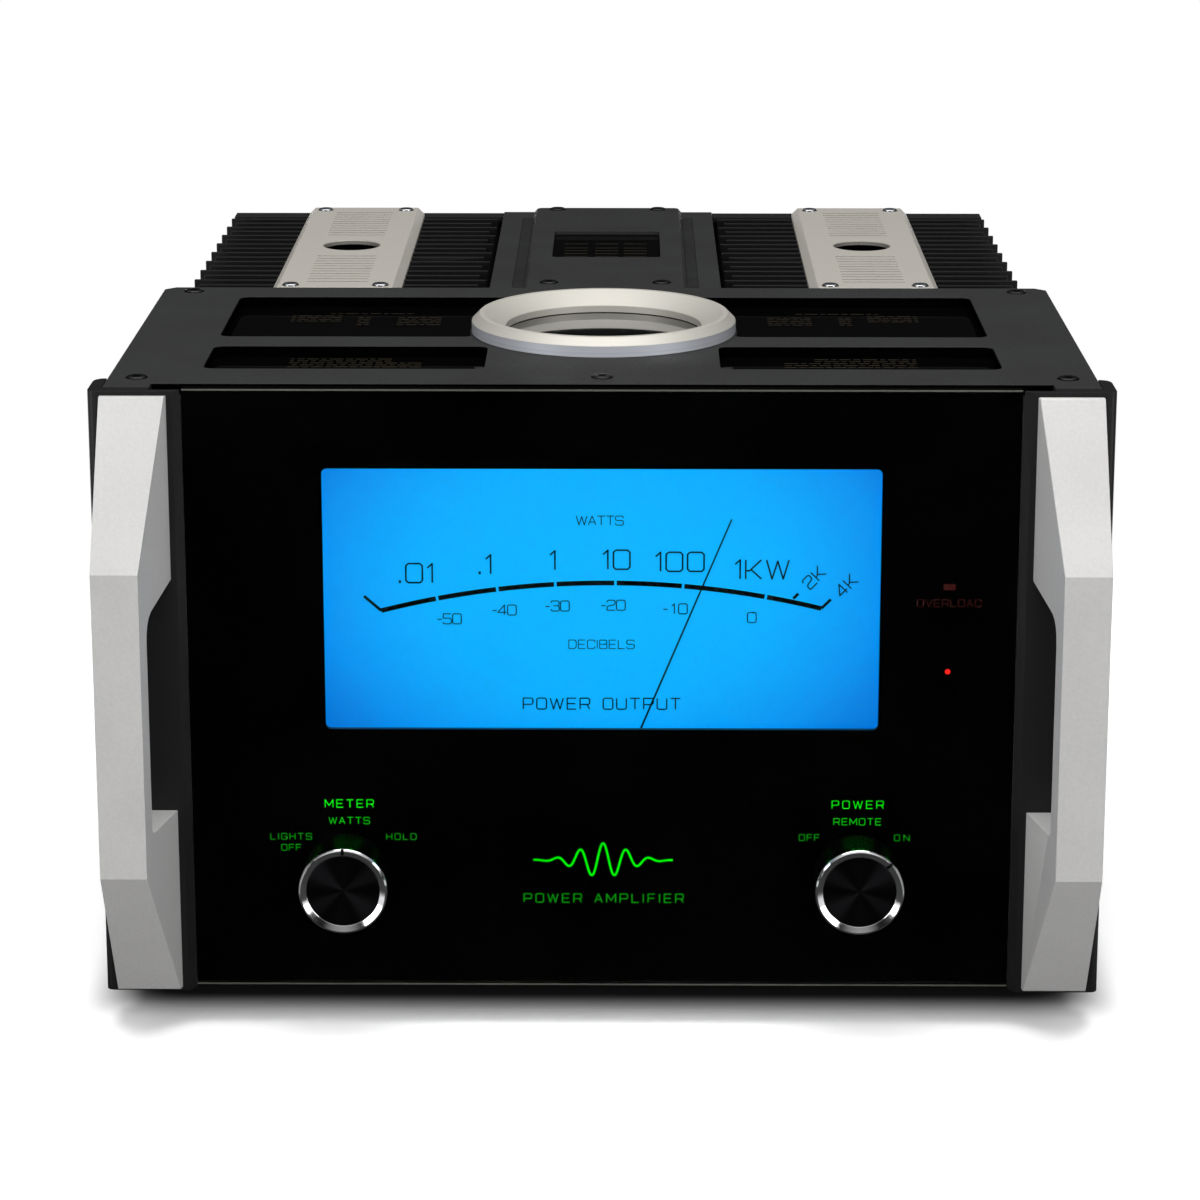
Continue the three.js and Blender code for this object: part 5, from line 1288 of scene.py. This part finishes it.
@dataclass
class Bezel:
    """The turned ring in the roof plate and the black glass disc in it. Profiles give radius and height."""

    profile: Places = (
        (45.4, 293.0), (49.0, 293.0), (49.0, 288.9), (51.6, 288.9), (51.6, 293.52), (61.1, 293.52), (61.3, 293.8),
        (61.3, 298.45), (61.18, 298.72), (57.75, 302.15), (57.45, 302.3), (55.35, 302.3), (55.05, 302.18),
        (45.6, 296.35), (45.4, 296.05))
    crease: float = 12.0
    # A band over the ring's outer wall, in a brighter colour that is painted light.
    wall_profile: Places = ((61.35, 293.7), (61.35, 298.6))
    steps: int = 180

    def build(self) -> None:
        """Turns the ring and the band over its outer wall, which carries painted cool light, and dresses the disc."""
        ring = Form().turned(self.profile, BEZEL_MIDDLE, Axis.HEIGHT, self.steps, closed=True)
        ring.piece("bezel_turned_ring", TURNED_SILVER, stands_for="bezel_ring", crease=self.crease)
        wall = Form().turned(self.wall_profile, BEZEL_MIDDLE, Axis.HEIGHT, self.steps)
        wall.piece("bezel_wall_painted_light", TURNED_WALL_PAINTED_LIGHT)
        dress(DISC_GLASS, "bezel_disc")


@dataclass
class HeatSinks:
    """The four finned banks."""

    rounding: float = 0.3

    def build(self) -> None:
        """Dresses the extrusions."""
        banks = [f"heat_sink_{place}_{side}" for place in ("outer", "inner") for side in SIDES]
        dress(BLACK_ANODISED, *banks, bevel_mm=self.rounding)


@dataclass
class Caps:
    """The two pale plates over the heat sinks, with their screws, their round hole, and their grooves lined with
    painted shade.
    """

    rounding: float = 0.25
    offset: float = 133.5
    screw_x: float = 22.2
    screw_y: Place = (13.75, 231.25)
    screw: Screw = Screw(ZINC_STEEL, OXIDE_STEEL, radius=3.9, socket=1.7, rise=1.0, shadow=0.4)
    hole_y: float = 123.4
    rim_profile: Places = ((15.3, 293.52), (15.2, 293.58), (14.6, 293.0), (14.6, 291.3))
    # A black sheet down the lower wall and across the bottom of each hole: painted shade.
    hole_shade_profile: Places = ((14.58, 291.3), (14.55, 287.5), (0.0, 287.4))
    hole_steps: int = 96
    groove_half: Place = (15.2, 0.78)
    groove_z: Place = (292.62, 293.44)
    groove_pitch: float = 6.9
    grooves: int = 11
    groove_middles: Place = (-65.1, 65.1)
    lining: float = 0.05

    def build(self) -> None:
        """Dresses the plates and adds screws, rims, holes and linings, the last three with painted shade."""
        dress(NICKEL_ANODISED, "heat_sink_cap_left", "heat_sink_cap_right", bevel_mm=self.rounding)
        for name, side in SIDES.items():
            x = side * self.offset
            places = [(x + shift, y, ROOF) for shift in (-self.screw_x, self.screw_x) for y in self.screw_y]
            self.screw.row("cap", places, f"_{name}")
            # The rim takes the darker cut finish; the black hole below it is painted shade.
            for part, profile, finish in (("hole_rim", self.rim_profile, MILLED_NICKEL_AND_SHADE),
                                          ("hole", self.hole_shade_profile, BLACK_INK_AND_SHADE)):
                form = Form().turned(profile, (x, self.hole_y, 0.0), Axis.HEIGHT, self.hole_steps)
                form.piece(f"cap_{part}_{name}", finish)
            self.shade_grooves(name, x)

    def shade_grooves(self, name: str, x: float) -> None:
        """Lines every groove of one plate, so that walls and floor show their rougher cut, darkened by painted shade.

        Args:
            name: The side's name.
            x: The plate's middle.
        """
        form = Form()
        (half, reach), (low, high) = self.groove_half, self.groove_z
        inner, floor = reach - self.lining, low + self.lining
        for middle in self.groove_middles:
            for index in range(self.grooves):
                y = self.hole_y + middle + (index - (self.grooves - 1) / 2) * self.groove_pitch
                for near, far, top in ((-reach, -inner, high), (inner, reach, high), (-reach, reach, floor)):
                    form.bar((x - half, y + near, low), (x + half, y + far, top))
        form.piece(f"cap_groove_painted_shade_{name}", MILLED_NICKEL_AND_SHADE)


@dataclass
class Deck:
    """The rear deck between the heat sinks, its louvres, and the spine plate on it with its pane."""

    rounding: float = 0.4
    rib_x: Place = (40.9, 46.2)
    rib_y: float = 13.5
    rib_z: Place = (289.9, 290.95)
    rib_pitch: float = 3.0
    rib_width: float = 1.4
    ribs: int = 69
    screws: Places = ((-28.0, 21.35), (28.0, 21.35), (-27.7, 234.55), (27.7, 234.55))
    screw: Screw = Screw(radius=4.2)
    pane_top: float = 291.2
    rules_x: tuple[float, ...] = (-22.0, -6.0, 9.0)
    rules_y: tuple[float, ...] = (104.0, 112.0, 120.0, 128.0, 140.0)
    rule_length: float = 12.0

    def build(self) -> None:
        """Dresses deck and spine and adds louvres, screws and rules."""
        dress(CHARCOAL_COAT, "rear_deck", "spine_cover", bevel_mm=self.rounding)
        dress(BACKED_GLASS, "spine_pane")
        for name, side in SIDES.items():
            self.louvres(name, side)
        self.screw.row("spine", [(x, y, ROOF) for x, y in self.screws])
        rules = Form()
        for y in self.rules_y:
            for x in self.rules_x:
                rules.bar((x, y, self.pane_top), (x + self.rule_length, y + RULE_PEN, self.pane_top + INK_RISE))
        rules.piece("spine_pane_rules", GOLD_INK)

    def louvres(self, name: str, side: int) -> None:
        """Lays the narrow bars across the vent recess of one side.

        Args:
            name: The side's name.
            side: Its sign along X.
        """
        (near, far), (low, high) = self.rib_x, self.rib_z
        form = Form()
        for rib in range(self.ribs):
            y = self.rib_y + rib * self.rib_pitch
            form.bar((side * near, y, low), (side * far, y + self.rib_width, high))
        form.piece(f"vent_louvres_{name}", CHARCOAL_COAT)


@dataclass
class Rear:
    """The connectors and screws of the back, plain because the photograph doesn't show them."""

    panel: float = 241.95
    screw: Screw = Screw(shade_finish=None, axis=Axis.DEPTH, radius=3.2, socket=1.3, rise=1.2)
    screw_x: tuple[float, ...] = (-190.0, -95.0, 95.0, 190.0)
    screw_z: Place = (34.0, 268.0)
    terminals: tuple[float, ...] = (-36.0, -12.0, 12.0, 36.0)
    terminal_z: float = 141.0
    cap_profile: Places = (
        (3.9, 253.25), (7.2, 253.25), (8.0, 254.05), (8.0, 265.25), (6.8, 267.65), (6.2, 268.25), (3.9, 268.25))
    cap_steps: int = 96
    flutes: int = 16
    flute_depth: float = 0.5
    flutes_from: float = 6.0

    def build(self) -> None:
        """Dresses the connectors, and adds fluted terminal caps and panel screws."""
        dress(NYLON, "power_inlet", "balanced_input", "terminal_block")
        dress(GOLD, "unbalanced_input", "remote_jack")
        for index, x in enumerate(self.terminals, 1):
            centre = (x, 0.0, self.terminal_z)
            cap = Form().turned(self.cap_profile, centre, Axis.DEPTH, self.cap_steps, closed=True, shape=self.fluted)
            cap.piece(f"fluted_terminal_cap_{index}", GOLD, f"terminal_{index}", f"terminal_cap_{index}")
        self.screw.row("rear_panel", [(x, self.panel, z) for x in self.screw_x for z in self.screw_z])

    def fluted(self, radius: float, angle: float) -> float:
        """Returns the radius that the flutes leave at an angle: they cut the outer wall only."""
        dip = self.flute_depth * (0.5 + 0.5 * math.cos(self.flutes * angle))
        return radius - dip if radius > self.flutes_from else radius


@dataclass
class Electronics:
    """What stands inside: transformers, capacitors and boards."""

    rounding: float = 0.6

    def build(self) -> None:
        """Dresses the inner parts."""
        dress(BLACK_ENAMEL, "power_transformer", "output_transformer", bevel_mm=self.rounding)
        dress(SLEEVE, "filter_capacitor_left", "filter_capacitor_right")
        dress(BOARD, "output_stage_left", "output_stage_right", "control_board")


def main() -> None:
    """Builds the studio and every sub-assembly in order."""
    logging.basicConfig(level=logging.INFO, format="%(name)s %(message)s")
    bpy.context.scene.view_settings.view_transform = "Standard"
    for assembly in (Studio(), Shell(), Electronics(), Meter(), FrontPanel(), Handles(), Knobs(), TopCover(), Bezel(),
                     HeatSinks(), Caps(), Deck(), Rear()):
        LOG.info("%s", type(assembly).__name__)
        assembly.build()


if __name__ == "__main__":
    main()
